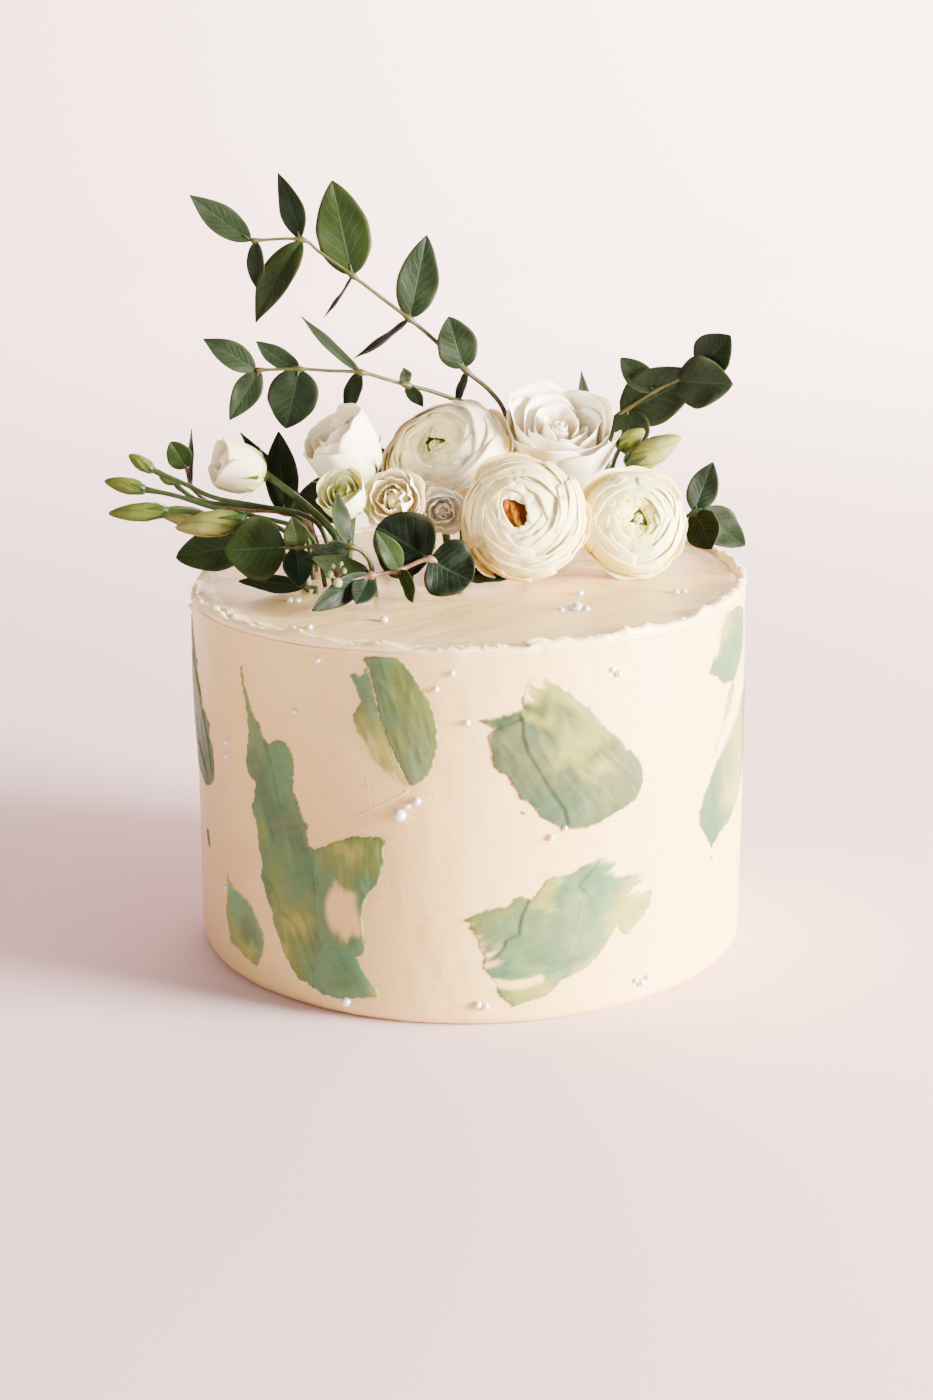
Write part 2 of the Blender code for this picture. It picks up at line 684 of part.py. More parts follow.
PROFILES = {
    "ranunculus": [
        (0.16, -0.62), (0.55, -0.54), (0.90, -0.22), (1.0, 0.06),
        (0.93, 0.30), (0.68, 0.48), (0.36, 0.46),
    ],
    "cup": [
        (0.16, -1.02), (0.52, -0.84), (0.84, -0.36), (0.98, 0.12),
        (0.90, 0.56), (0.98, 0.86), (0.55, 0.60),
    ],
    "ruffled": [
        (0.20, -0.66), (0.60, -0.46), (0.94, -0.12), (1.0, 0.16),
        (0.86, 0.42), (0.60, 0.58), (0.30, 0.50),
    ],
}
CROWN = {"ranunculus": 0.34, "cup": 0.34, "ruffled": 0.42}

FLOWERS = {
    "lisianthus_left": Flower(
        "cup", (-0.0865, 0.017, 0.1750), (-0.93, -0.15, 0.35), 0.0112, (-0.050, 0.012), 5
    ),
    "lisianthus_upper": Flower(
        "cup", (-0.0465, 0.022, 0.1800), (-0.45, -0.30, 0.84), 0.0150, (-0.032, 0.030), 5
    ),
    "lisianthus_small": Flower(
        "cup", (-0.0450, -0.0125, 0.1690), (-0.25, -0.55, 0.80), 0.0080, (-0.044, -0.006), 5
    ),
    "ranunculus_centre": Flower(
        "ranunculus", (-0.009, 0.031, 0.1765), (-0.35, -0.60, 0.72), 0.0240, (-0.002, 0.044), 7
    ),
    "carnation_cream": Flower(
        "ruffled", (-0.0275, -0.006, 0.1670), (-0.20, -0.90, 0.38), 0.0110, (-0.022, 0.006), 8
    ),
    "carnation_white": Flower(
        "ruffled", (-0.0095, 0.001, 0.1610), (0.05, -0.95, 0.10), 0.0082, (-0.008, 0.012), 7
    ),
    "rose_white": Flower("cup", (0.0350, 0.039, 0.1790), (0.15, -0.50, 0.85), 0.0180, (0.036, 0.047), 6),
    "rose_cream": Flower(
        "ranunculus", (0.0200, -0.006, 0.1598), (-0.05, -0.94, 0.34), 0.0222, (0.020, 0.012), 9
    ),
    "ranunculus_right": Flower(
        "ranunculus", (0.0605, 0.003, 0.1560), (0.08, -0.93, 0.36), 0.0188, (0.060, 0.020), 8
    ),
}


def flower(name, form, petal_finish):
    """A head with its outer petals as relief, and the stem that holds it, as one body."""
    centre = Vector(form.centre)
    faces = Vector(form.faces).normalized()
    across = faces.orthogonal().normalized()
    other = faces.cross(across)
    profile = PROFILES[form.kind]
    rings = []
    for level, (out, height) in enumerate(profile):
        ring = []
        for side in range(FLOWER_SIDES):
            angle = 2 * math.pi * side / FLOWER_SIDES
            petal = math.cos(form.petals * angle + 1.9 * level)
            swell = 1 + (PETAL_SWELL * petal if level > 0 else 0.0)
            lift = PETAL_LIFT * math.sin(form.petals * angle + 1.3 * level) if level > 2 else 0.0
            radial = across * math.cos(angle) + other * math.sin(angle)
            ring.append(centre + (radial * out * swell * HEAD_SHARE + faces * (height + lift)) * form.radius)
        rings.append(ring)
    lowest, crown = profile[0][1], CROWN[form.kind]
    back = centre + faces * lowest * form.radius
    head = turned(name, rings, back, centre + faces * crown * form.radius, petal_finish)
    foot = Vector(on_top(*form.foot))
    under = back - faces * 0.25 * form.radius
    halfway = Vector((foot.x, foot.y, foot.z + 0.45 * max(under.z - foot.z, 0.0)))
    route = [back + faces * 0.3 * form.radius, under, halfway, foot]
    stem = tube(name + "_stem", route, [FLOWER_STEM] * 4, STEM_SIDES, petal_finish)
    return fuse(head, [stem])


# Buds. Each runs from its tip to its green base and then along its stem to the icing.

BUDS = {
    "bud_left_1": Bud(
        (-0.125, 0.010, 0.181),
        (-0.1165, 0.0085, 0.1755),
        0.0026,
        [
            (-0.104, 0.006, 0.1705), (-0.093, 0.001, 0.1665), (-0.078, -0.001, 0.1640),
            (-0.060, -0.0005, 0.160), (-0.053, 0.000, 0.152), on_top(-0.050, 0.001),
        ],
    ),
    "bud_left_2": Bud(
        (-0.1335, 0.004, 0.1725),
        (-0.119, 0.0025, 0.1695),
        0.0030,
        [
            (-0.107, 0.000, 0.1675), (-0.094, -0.0035, 0.1640), (-0.078, -0.0040, 0.1605),
            (-0.062, -0.0035, 0.1560), (-0.056, -0.003, 0.149), on_top(-0.053, -0.003),
        ],
    ),
    "bud_left_small": Bud(
        (-0.1145, 0.0130, 0.1722),
        (-0.1090, 0.0115, 0.1700),
        0.0016,
        [
            (-0.100, 0.0090, 0.1640), (-0.085, 0.0085, 0.1620), (-0.070, 0.0085, 0.1600),
            (-0.061, 0.008, 0.154), on_top(-0.058, 0.008),
        ],
    ),
    "bud_left_3": Bud(
        (-0.131, -0.0065, 0.1625),
        (-0.110, -0.0062, 0.1632),
        0.0034,
        [
            (-0.097, -0.0055, 0.1620), (-0.080, -0.0058, 0.1560), (-0.066, -0.0065, 0.150),
            on_top(-0.060, -0.0075),
        ],
    ),
    "bud_left_4": Bud(
        (-0.1150, 0.0040, 0.1610),
        (-0.0965, 0.0030, 0.1580),
        0.0036,
        [(-0.083, 0.0030, 0.1545), (-0.071, 0.0035, 0.1500), on_top(-0.065, 0.0045)],
    ),
    "bud_left_5": Bud(
        (-0.1060, -0.0130, 0.1585),
        (-0.0815, -0.0130, 0.1610),
        0.0048,
        [(-0.072, -0.0140, 0.1600), (-0.063, -0.0125, 0.152), on_top(-0.059, -0.0115)],
    ),
    "bud_right_1": Bud(
        (0.0662, 0.030, 0.1855),
        (0.0570, 0.0295, 0.1790),
        0.0034,
        [(0.0545, 0.0280, 0.1720), (0.053, 0.027, 0.155), on_top(0.052, 0.027)],
    ),
    "bud_right_2": Bud(
        (0.0792, 0.024, 0.1838),
        (0.0600, 0.0240, 0.1735),
        0.0052,
        [(0.0580, 0.0250, 0.1640), (0.058, 0.0245, 0.152), on_top(0.057, 0.0250)],
    ),
}
BUD_FORM = [(0.0, 0.14), (0.14, 0.52), (0.38, 0.90), (0.62, 1.0), (0.84, 0.80), (0.97, 0.45)]
BUD_STEM = 0.0010
BUD_SIDES = 6


def bud(name, form, finish):
    tip, base = Vector(form.tip), Vector(form.base)
    route = [tip.lerp(base, part) for part, _ in BUD_FORM] + [Vector(p) for p in form.route]
    radii = [form.radius * share for _, share in BUD_FORM] + [BUD_STEM] * len(form.route)
    return tube(name, route, radii, BUD_SIDES, finish)


def main():
    for old in list(bpy.data.objects):
        bpy.data.objects.remove(old)
    icing = material("icing", srgb(238, 220, 196), 0.32, 0.3)
    white_petal = material("white_petal", srgb(243, 240, 234), 0.55)
    cream_petal = material("cream_petal", srgb(246, 234, 204), 0.55)
    leaf_green = material("leaf_green", srgb(62, 86, 60), 0.5)
    bud_green = material("bud_green", srgb(182, 192, 132), 0.5)
    cake(icing)
    for name, form in FLOWERS.items():
        cream = name in ("rose_cream", "ranunculus_right", "carnation_cream")
        flower(name, form, cream_petal if cream else white_petal)
    for name, form in BUDS.items():
        bud(name, form, bud_green)
    for name, (stem, leaves) in SPRIGS.items():
        sprig(name, stem, leaves, leaf_green)


main()
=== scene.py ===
import math

import bpy
import numpy as np
from mathutils import Matrix, Vector


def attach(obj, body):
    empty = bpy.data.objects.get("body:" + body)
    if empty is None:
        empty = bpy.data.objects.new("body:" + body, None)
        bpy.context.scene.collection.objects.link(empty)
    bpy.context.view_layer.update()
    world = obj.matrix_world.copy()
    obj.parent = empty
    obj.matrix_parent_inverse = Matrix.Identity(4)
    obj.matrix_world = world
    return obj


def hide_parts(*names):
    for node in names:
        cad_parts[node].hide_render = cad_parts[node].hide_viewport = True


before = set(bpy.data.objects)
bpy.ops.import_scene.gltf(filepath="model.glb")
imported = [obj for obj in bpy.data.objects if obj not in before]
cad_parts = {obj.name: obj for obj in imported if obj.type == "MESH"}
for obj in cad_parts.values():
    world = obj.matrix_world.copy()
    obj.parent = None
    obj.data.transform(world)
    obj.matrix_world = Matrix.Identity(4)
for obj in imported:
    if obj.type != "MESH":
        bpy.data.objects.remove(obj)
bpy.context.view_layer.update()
print("stage: frame loaded")


# Numbers and curves

noiseTable = np.random.default_rng(4).uniform(-1, 1, (1024, 256))


def wander(x, y=0.0, period=1024):
    # a smooth uneven field from -1 to 1 with about one hill for each whole step of x and y
    x, y = np.broadcast_arrays(np.asarray(x, float), np.asarray(y, float))
    i, j = np.floor(x).astype(int), np.floor(y).astype(int)
    u, v = x - i, y - j
    u, v = u * u * (3 - 2 * u), v * v * (3 - 2 * v)
    here, there = i % period, (i + 1) % period
    low = noiseTable[here, j % 256] * (1 - u) + noiseTable[there, j % 256] * u
    high = noiseTable[here, (j + 1) % 256] * (1 - u) + noiseTable[there, (j + 1) % 256] * u
    return low * (1 - v) + high * v


def ease(x):
    x = np.clip(x, 0, 1)
    return x * x * (3 - 2 * x)


def hill(x, half):
    # a soft hill, 1 at zero and nearly gone at twice its half width
    return np.exp(-((x / half) ** 2))


def smoothRow(values, count):
    # a smooth curve through the rows of values, read at count even steps
    values = np.asarray(values, float)
    last = len(values) - 1
    place = np.linspace(0, last, count)
    i = np.clip(place.astype(int), 0, max(last - 1, 0))
    t = (place - i).reshape((-1,) + (1,) * (values.ndim - 1))
    p0, p1 = values[np.maximum(i - 1, 0)], values[i]
    p2, p3 = values[np.minimum(i + 1, last)], values[np.minimum(i + 2, last)]
    return 0.5 * (
        2 * p1 + (p2 - p0) * t + (2 * p0 - 5 * p1 + 4 * p2 - p3) * t**2 + (3 * p1 - p0 - 3 * p2 + p3) * t**3
    )


def unit(vector):
    vector = np.asarray(vector, float)
    return vector / max(np.linalg.norm(vector), 1e-12)


def joined(*values):
    # several fields side by side on the last axis of one array
    return np.stack(np.broadcast_arrays(*values), axis=-1)


def inMetres(form, *keys):
    # a piece's dictionary with the named lengths turned from mm into metres
    return {**form, **{key: np.asarray(form[key], float) * 0.001 for key in keys}}


def opaque(tint, grid):
    # a tint for each point of a grid, with full alpha
    return np.concatenate([np.broadcast_to(tint, grid.shape), np.ones(grid.shape[:2] + (1,))], axis=-1)


# Meshes. A pile gathers many small bodies that become one object.


def newPile():
    return {"points": [], "quads": [], "caps": [], "maps": [], "tints": [], "count": 0}


def addGrid(pile, grid, maps, tints, flip=False, wrap=False):
    rows, columns = grid.shape[:2]
    index = np.arange(rows * columns).reshape(rows, columns) + pile["count"]
    right = np.roll(index, -1, axis=1) if wrap else index[:, 1:]
    left = index if wrap else index[:, :-1]
    quads = np.stack([left[:-1], right[:-1], right[1:], left[1:]], axis=-1).reshape(-1, 4)
    if flip:
        quads = quads[:, ::-1]
    pile["points"].append(grid.reshape(-1, 3))
    pile["maps"].append(np.broadcast_to(maps, (rows, columns, 2)).reshape(-1, 2))
    pile["tints"].append(np.broadcast_to(tints, (rows, columns, 4)).reshape(-1, 4))
    pile["quads"].append(quads)
    pile["count"] += rows * columns
    return index


def addShell(pile, grid, thickness, maps, tints, under=1.0):
    # a thin closed body from one grid of points, its rim thinner than its middle
    du, dv = np.gradient(grid, axis=0), np.gradient(grid, axis=1)
    normal = np.cross(dv, du)
    normal /= np.maximum(np.linalg.norm(normal, axis=-1, keepdims=True), 1e-12)
    rim = np.full(grid.shape[:2], 0.5)
    rim[0, :] = rim[-1, :] = rim[:, 0] = rim[:, -1] = 0.25
    step = normal * rim[..., None] * thickness
    tints = np.broadcast_to(tints, grid.shape[:2] + (4,))
    low = tints * np.array([under, under, under, 1.0])
    top = addGrid(pile, grid + step, maps, tints)
    base = addGrid(pile, grid - step, maps, low, flip=True)
    border = np.concatenate([top[0, :-1], top[:-1, -1], top[-1, :0:-1], top[:0:-1, 0]])
    drop = base[0, 0] - top[0, 0]
    after = np.roll(border, -1)
    pile["quads"].append(np.stack([border + drop, after + drop, after, border], axis=-1))


def addClosed(pile, grid, maps, tint):
    # rings joined into one body, with a cap at each end
    index = addGrid(pile, grid, maps, np.asarray(tint, float), wrap=True)
    pile["caps"] += [index[0, ::-1], index[-1]]


def addTube(pile, route, radii, sides, tint):
    # a round tube along a route, with its own radius at each point
    route = np.asarray(route, float)
    ahead = np.gradient(route, axis=0)
    ahead /= np.maximum(np.linalg.norm(ahead, axis=1, keepdims=True), 1e-12)
    across = unit(np.cross(ahead[0], (0.31, 0.52, 0.79)))
    angles = np.linspace(0, 2 * math.pi, sides, endpoint=False)
    rings = []
    for i, point in enumerate(route):
        across = unit(across - ahead[i] * np.dot(across, ahead[i]))
        other = np.cross(ahead[i], across)
        turn = np.cos(angles)[:, None] * across + np.sin(angles)[:, None] * other
        rings.append(point + turn * radii[i])
    maps = joined(np.linspace(0, 1, sides)[None, :], np.linspace(0, 1, len(route))[:, None])
    addClosed(pile, np.array(rings), maps, tint)


def ballShape(rows, columns):
    # the angles up and round a ball of radius 1, and its points
    up = np.linspace(-0.5, 0.5, rows)[:, None] * math.pi * 0.985
    around = np.linspace(0, 2 * math.pi, columns, endpoint=False)[None, :]
    points = np.cos(up) * np.cos(around), np.cos(up) * np.sin(around), np.sin(up)
    return up, around, np.broadcast_arrays(*points)


def addBall(pile, centre, radius, tint, rows=9, columns=14, rough=0.0):
    up, around, (x, y, z) = ballShape(rows, columns)
    lump = 1 + rough * wander(x * 1.7 + z * 1.3, y * 1.7)
    grid = np.asarray(centre) + joined(x, y, z) * lump[..., None] * radius
    addClosed(pile, grid, joined(around / 6.3, up / 3.2 + 0.5), tint)


def makePiece(name, pile, look, node):
    points, maps, tints = (np.concatenate(pile[key]) for key in ("points", "maps", "tints"))
    quads = np.concatenate(pile["quads"])
    used = np.zeros(len(points), bool)
    used[quads.ravel()] = True
    places = np.cumsum(used) - 1
    faces = places[quads].tolist() + [places[cap].tolist() for cap in pile["caps"]]
    points, maps, tints = points[used], maps[used], tints[used]
    mesh = bpy.data.meshes.new(name)
    mesh.from_pydata(points.tolist(), [], faces)
    corners = np.empty(len(mesh.loops), np.int32)
    mesh.loops.foreach_get("vertex_index", corners)
    layer = mesh.uv_layers.new(name="surfaceMap")
    layer.data.foreach_set("uv", maps[corners].astype(np.float32).ravel())
    tint = mesh.attributes.new("tint", "FLOAT_COLOR", "POINT")
    tint.data.foreach_set("color", tints.astype(np.float32).ravel())
    mesh.shade_smooth()
    mesh.materials.append(look)
    piece = bpy.data.objects.new(name, mesh)
    bpy.context.scene.collection.objects.link(piece)
    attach(piece, "root")
    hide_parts(node)


# Materials


def setInputs(tree, node, values):
    # a value that comes from another node is linked, any other is set on the socket
    for key, value in values.items():
        if isinstance(value, bpy.types.NodeSocket):
            tree.links.new(value, node.inputs[key])
        else:
            node.inputs[key].default_value = value


def addNode(tree, kind, inputs=None, **settings):
    made = tree.nodes.new("ShaderNode" + kind)
    for key, value in settings.items():
        setattr(made, key, value)
    setInputs(tree, made, inputs or {})
    return made


def newGroup(name, values, outputs):
    # a vector and named values go in, named values come out
    group = bpy.data.node_groups.new(name, "ShaderNodeTree")
    group.interface.new_socket("Vector", in_out="INPUT", socket_type="NodeSocketVector")
    for label, value in values.items():
        socket = group.interface.new_socket(label, in_out="INPUT", socket_type="NodeSocketFloat")
        socket.default_value = value
    for label in outputs:
        group.interface.new_socket(label, in_out="OUTPUT", socket_type="NodeSocketFloat")
    return group, group.nodes.new("NodeGroupInput").outputs, group.nodes.new("NodeGroupOutput")


def math2(tree, operation, first, second=0.0):
    return addNode(tree, "Math", {0: first, 1: second}, operation=operation).outputs[0]


def weighted(tree, *parts):
    # the sum of several values, each times its own share
    scaled = [math2(tree, "MULTIPLY", value, share) for value, share in parts]
    total = scaled[0]
    for more in scaled[1:]:
        total = math2(tree, "ADD", total, more)
    return total


def rangeOf(tree, value, low, high, toLow=0.0, toHigh=1.0):
    # low to high, eased into the range that the last two give
    inputs = {"Value": value, "From Min": low, "From Max": high, "To Min": toLow, "To Max": toHigh}
    return addNode(tree, "MapRange", inputs, interpolation_type="SMOOTHSTEP").outputs["Result"]


def noise(tree, place, scale, detail, roughness=0.5, distortion=0.0):
    inputs = {"Vector": place, "Scale": scale, "Detail": detail}
    inputs.update({"Roughness": roughness, "Distortion": distortion})
    return addNode(tree, "TexNoise", inputs).outputs["Fac"]


def stretched(tree, place, across, along):
    # a place multiplied by its own factor each way
    factors = addNode(tree, "CombineXYZ", {0: across, 1: along}).outputs[0]
    return addNode(tree, "VectorMath", {0: place, 1: factors}, operation="MULTIPLY").outputs[0]


def blend(tree, share, first, second, kind="MIX"):
    # sockets 6 and 7 of the mix node are its two colours
    inputs = {0: share}
    for key, colour in ((6, first), (7, second)):
        inputs[key] = colour if isinstance(colour, bpy.types.NodeSocket) else colour + (1.0,)
    return addNode(tree, "Mix", inputs, data_type="RGBA", blend_type=kind).outputs[2]


def bumpOf(tree, height, strength, distance):
    return addNode(tree, "Bump", {"Height": height, "Strength": strength, "Distance": distance}).outputs[0]


def icingGroup():
    # spatula streaks, a soft mottle and small pits for anything made of icing
    values = {"Streak Length": 60.0, "Streak Width": 900.0, "Pits": 1.0}
    group, given, out = newGroup("icingMarks", values, ["Mottle", "Height", "Gloss"])
    place = given["Vector"]
    drawn = stretched(group, place, given["Streak Length"], given["Streak Width"])
    streak = noise(group, drawn, 1.0, 4.0, roughness=0.6)
    broad = noise(group, place, 26.0, 3.0, distortion=0.6)
    grain = noise(group, place, 420.0, 3.0, roughness=0.55)
    pit = addNode(group, "TexVoronoi", {"Vector": place, "Scale": 150.0, "Randomness": 1.0})
    hole = rangeOf(group, pit.outputs["Distance"], 0.03, 0.10, 1.0, 0.0)
    hole = math2(group, "MULTIPLY", hole, given["Pits"])
    setInputs(group, out, {
        "Mottle": weighted(group, (broad, 0.7), (streak, 0.3)),
        "Height": weighted(group, (grain, 0.25), (streak, 0.55), (broad, 1.2), (hole, -0.35)),
        "Gloss": rangeOf(group, grain, 0.3, 0.7, 0.30, 0.44),
    })
    return group


def petalGroup():
    # fine lengthwise veins that run from a petal's base to its rim, and thin translucent patches
    group, given, out = newGroup("petalVeins", {"Veins": 40.0}, ["Shade", "Height"])
    place = given["Vector"]
    vein = noise(group, stretched(group, place, given["Veins"], 1.4), 1.0, 3.0, roughness=0.5)
    soft = noise(group, place, 3.0, 2.0)
    setInputs(group, out, {"Shade": weighted(group, (vein, 0.5), (soft, 0.5)), "Height": vein})
    return group


def leafGroup():
    # midrib, side veins and the pale wax on a leaf; the map runs across 0 to 1 and along 0 to 1
    group, given, out = newGroup("leafVeins", {"Side Veins": 8.0}, ["Vein", "Wax", "Height"])
    place = given["Vector"]
    across, along = addNode(group, "SeparateXYZ", {0: place}).outputs[:2]
    off = math2(group, "MULTIPLY", math2(group, "SUBTRACT", across, 0.5), 2.0)
    off = math2(group, "ABSOLUTE", off)
    bend = math2(group, "MULTIPLY", math2(group, "SUBTRACT", noise(group, place, 4.0, 2.0), 0.5), 0.9)
    rib = rangeOf(group, off, 0.015, 0.055, 1.0, 0.0)
    run = math2(group, "SUBTRACT", along, math2(group, "MULTIPLY", off, 0.32))
    run = math2(group, "ADD", math2(group, "MULTIPLY", run, given["Side Veins"]), bend)
    side = math2(group, "ABSOLUTE", math2(group, "SUBTRACT", math2(group, "FRACT", run), 0.5))
    side = rangeOf(group, side, 0.03, 0.13, 1.0, 0.0)
    side = math2(group, "MULTIPLY", side, rangeOf(group, off, 0.55, 0.95, 0.5, 0.0))
    vein = math2(group, "MAXIMUM", rib, side)
    inPiece = addNode(group, "TexCoord").outputs["Object"]
    wax = noise(group, inPiece, 170.0, 4.0, roughness=0.62)
    fine = noise(group, inPiece, 1500.0, 2.0)
    setInputs(group, out, {
        "Vein": vein,
        "Wax": rangeOf(group, wax, 0.40, 0.72),
        "Height": weighted(group, (vein, -0.6), (fine, 0.35), (wax, 0.7)),
    })
    return group


icingMarks, petalVeins, leafVeins = icingGroup(), petalGroup(), leafGroup()


def newLook(name):
    made = bpy.data.materials.new(name)
    made.use_nodes = True
    return made, made.node_tree, made.node_tree.nodes["Principled BSDF"]


def tintOf(tree):
    # the mesh's own colours; on icing, alpha is how much of the tint covers the cream
    return addNode(tree, "Attribute", attribute_name="tint").outputs


def placeMarks(tree, group, values):
    # a group laid over the piece's map, with its own values
    place = addNode(tree, "UVMap", uv_map="surfaceMap").outputs[0]
    return addNode(tree, "Group", {"Vector": place, **values}, node_tree=group).outputs


icingColours = {
    "cream": (0.875, 0.622, 0.255),
    "deepCream": (0.840, 0.572, 0.210),
    # the paler cream of the torn rim and its crumbs is a painted highlight on the raised rim
    "litLipCream": (0.920, 0.705, 0.375),
}


def icingLook(name, streakLength, streakWidth, pits, depth, soft, coat, specular):
    look, tree, shader = newLook(name)
    tint = tintOf(tree)
    values = {"Streak Length": streakLength, "Streak Width": streakWidth, "Pits": pits}
    marks = placeMarks(tree, icingMarks, values)
    mottle = rangeOf(tree, marks["Mottle"], 0.35, 0.68)
    cream = blend(tree, mottle, icingColours["deepCream"], icingColours["cream"])
    worn = rangeOf(tree, marks["Mottle"], 0.3, 0.7, 0.0, 0.10)
    paint = blend(tree, worn, tint["Color"], icingColours["cream"])
    setInputs(tree, shader, {
        "Base Color": blend(tree, tint["Alpha"], cream, paint),
        "Roughness": marks["Gloss"],
        "Subsurface Weight": soft,
        "Subsurface Radius": (1.0, 0.6, 0.35),
        "Subsurface Scale": 0.004,
        "Coat Weight": coat,
        "Coat Roughness": 0.20,
        "Coat IOR": 1.4,
        "Specular IOR Level": specular,
        "Normal": bumpOf(tree, marks["Height"], 0.55, depth),
    })
    return look


def petalLook(name, veins):
    look, tree, shader = newLook(name)
    tint = tintOf(tree)["Color"]
    marks = placeMarks(tree, petalVeins, {"Veins": veins})
    dim = blend(tree, 1.0, tint, (0.95, 0.93, 0.88), "MULTIPLY")
    setInputs(tree, shader, {
        "Base Color": blend(tree, rangeOf(tree, marks["Shade"], 0.35, 0.65), dim, tint),
        "Roughness": 0.55,
        "Subsurface Weight": 0.5,
        "Subsurface Radius": (1.0, 0.85, 0.6),
        "Subsurface Scale": 0.0006,
        "Specular IOR Level": 0.2,
        "Normal": bumpOf(tree, marks["Height"], 0.35, 0.0003),
    })
    return look


def leafLook(name, veinColour, waxColour, veinShare, waxShare):
    look, tree, shader = newLook(name)
    marks = placeMarks(tree, leafVeins, {})
    wax = math2(tree, "MULTIPLY", marks["Wax"], waxShare)
    waxed = blend(tree, wax, tintOf(tree)["Color"], waxColour)
    vein = math2(tree, "MULTIPLY", marks["Vein"], veinShare)
    setInputs(tree, shader, {
        "Base Color": blend(tree, vein, waxed, veinColour),
        "Roughness": rangeOf(tree, marks["Wax"], 0.0, 1.0, 0.42, 0.62),
        "Specular IOR Level": 0.07,
        "Subsurface Weight": 0.15,
        "Subsurface Radius": (0.5, 1.0, 0.3),
        "Subsurface Scale": 0.0012,
        "Normal": bumpOf(tree, marks["Height"], 0.5, 0.00035),
    })
    return look


def stemLook(name):
    look, tree, shader = newLook(name)
    tint = tintOf(tree)["Color"]
    mottle = noise(tree, addNode(tree, "TexCoord").outputs["Object"], 700.0, 3.0)
    dark = blend(tree, 1.0, tint, (0.62, 0.66, 0.52), "MULTIPLY")
    setInputs(tree, shader, {
        "Base Color": blend(tree, rangeOf(tree, mottle, 0.35, 0.65), dark, tint),
        "Roughness": 0.45,
        "Specular IOR Level": 0.3,
        "Normal": bumpOf(tree, mottle, 0.4, 0.0002),
    })
    return look


def pearlLook(name):
    look, tree, shader = newLook(name)
    cloud = noise(tree, addNode(tree, "TexCoord").outputs["Object"], 420.0, 2.0)
    share = rangeOf(tree, cloud, 0.35, 0.65)
    setInputs(tree, shader, {
        "Base Color": blend(tree, share, (0.80, 0.74, 0.72), (0.86, 0.85, 0.88)),
        "Metallic": 0.25,
        "Roughness": 0.2,
        "Coat Weight": 1.0,
        "Coat Roughness": 0.06,
        "Normal": bumpOf(tree, cloud, 0.2, 0.0002),
    })
    return look


looks = {
    "icing": icingLook(
        "icing",
        streakLength=30.0, streakWidth=420.0, pits=0.8, depth=0.00085, soft=0.22, coat=0.40, specular=0.45,
    ),
    "paint": icingLook(
        "paintedIcing",
        streakLength=300.0, streakWidth=60.0, pits=0.4, depth=0.00045, soft=0.0, coat=0.03, specular=0.12,
    ),
    "top": icingLook(
        "icingTop",
        streakLength=28.0, streakWidth=1500.0, pits=0.6, depth=0.0019, soft=0.22, coat=0.12, specular=0.40,
    ),
    "white": petalLook("whitePetal", veins=34.0),
    "cream": petalLook("creamPetal", veins=34.0),
    "bud": petalLook("budPetal", veins=22.0),
    "leaf": leafLook(
        "eucalyptusLeaf",
        veinColour=(0.032, 0.048, 0.018), waxColour=(0.016, 0.026, 0.014), veinShare=0.5, waxShare=0.4,
    ),
    "stem": stemLook("greenStem"),
    "pearl": pearlLook("sugarPearl"),
}
print("stage: materials ready")


# The iced cake

cakeForm = {
    "radius": 0.102,
    "height": 0.1345,
    "slope": 0.0174,  # the top rises a little towards +X
    "footRounding": 0.005,
    "sideTop": 0.1325,  # the last row of the side
    "lipFoot": 0.133,  # the height at which the lip takes up the side's radius
    "lipHeight": 0.0026,
    "lipWidth": 0.0035,
    "lipDrops": (0.0017, 0.0011, 0.0006),  # rows of the swelling under the rim, below its own height
    "lipTurns": (-50, -25, 0, 22, 44, 66, 88, 110, 132, 154, 176, 198),  # degrees round the lip's section
    # the lip's paler tint is a painted highlight; these say over how many rows it comes in and goes out
    "litRows": (4, 9),  # over how many rows the pale tint of the lip comes in and goes out
    "aroundSteps": 1000,
    "sideRows": 64,
    "footRows": 6,
    "collarRows": 10,
    "topRows": 36,
    "knifeTurn": 38,  # degrees from +X of the knife's way over the top
}


def topZ(x):
    return cakeForm["height"] + cakeForm["slope"] * x


def onTop(x, y):
    # a point just above the icing of the top, in mm
    return (x, y, 1000 * topZ(0.001 * x) + 0.3)


def lipWave(angle):
    # the same uneven rim as in the solid; angle counts from +X
    return 0.85 + 0.22 * np.sin(5 * angle + 1.0) + 0.2 * np.sin(11 * angle + 0.4) + 0.16 * np.sin(23 * angle)


def roundAbout(along, hills, y=0.0):
    # the same kind of field, closed round the cake, with so many hills in one turn
    return wander(along * hills / (2 * math.pi * cakeForm["radius"]), y, period=hills)


def sideRadius(along, height):
    # along is metres round from the front
    r, foot = cakeForm["radius"], cakeForm["footRounding"]
    sway = 0.0002 * np.sin(3 * (along / r - math.pi / 2) + 40 * height)
    sway = sway + 0.00024 * roundAbout(along, 29, height * 38 + 9)
    sway = sway + 0.00009 * roundAbout(along, 135, height * 90)
    inset = foot * (1 - np.sqrt(np.clip(1 - np.clip(1 - height / foot, 0, 1) ** 2, 0, 1)))
    return r + sway - inset


def sideTilt(along, height):
    # the upper part of the side follows the slope of the top
    r = cakeForm["radius"]
    return cakeForm["slope"] * r * np.sin(along / r) * (height / cakeForm["height"]) ** 4


def onSide(along, height, out=0.0):
    angle = along / cakeForm["radius"]
    radius = sideRadius(along, height) + out
    return joined(radius * np.sin(angle), -radius * np.cos(angle), height)


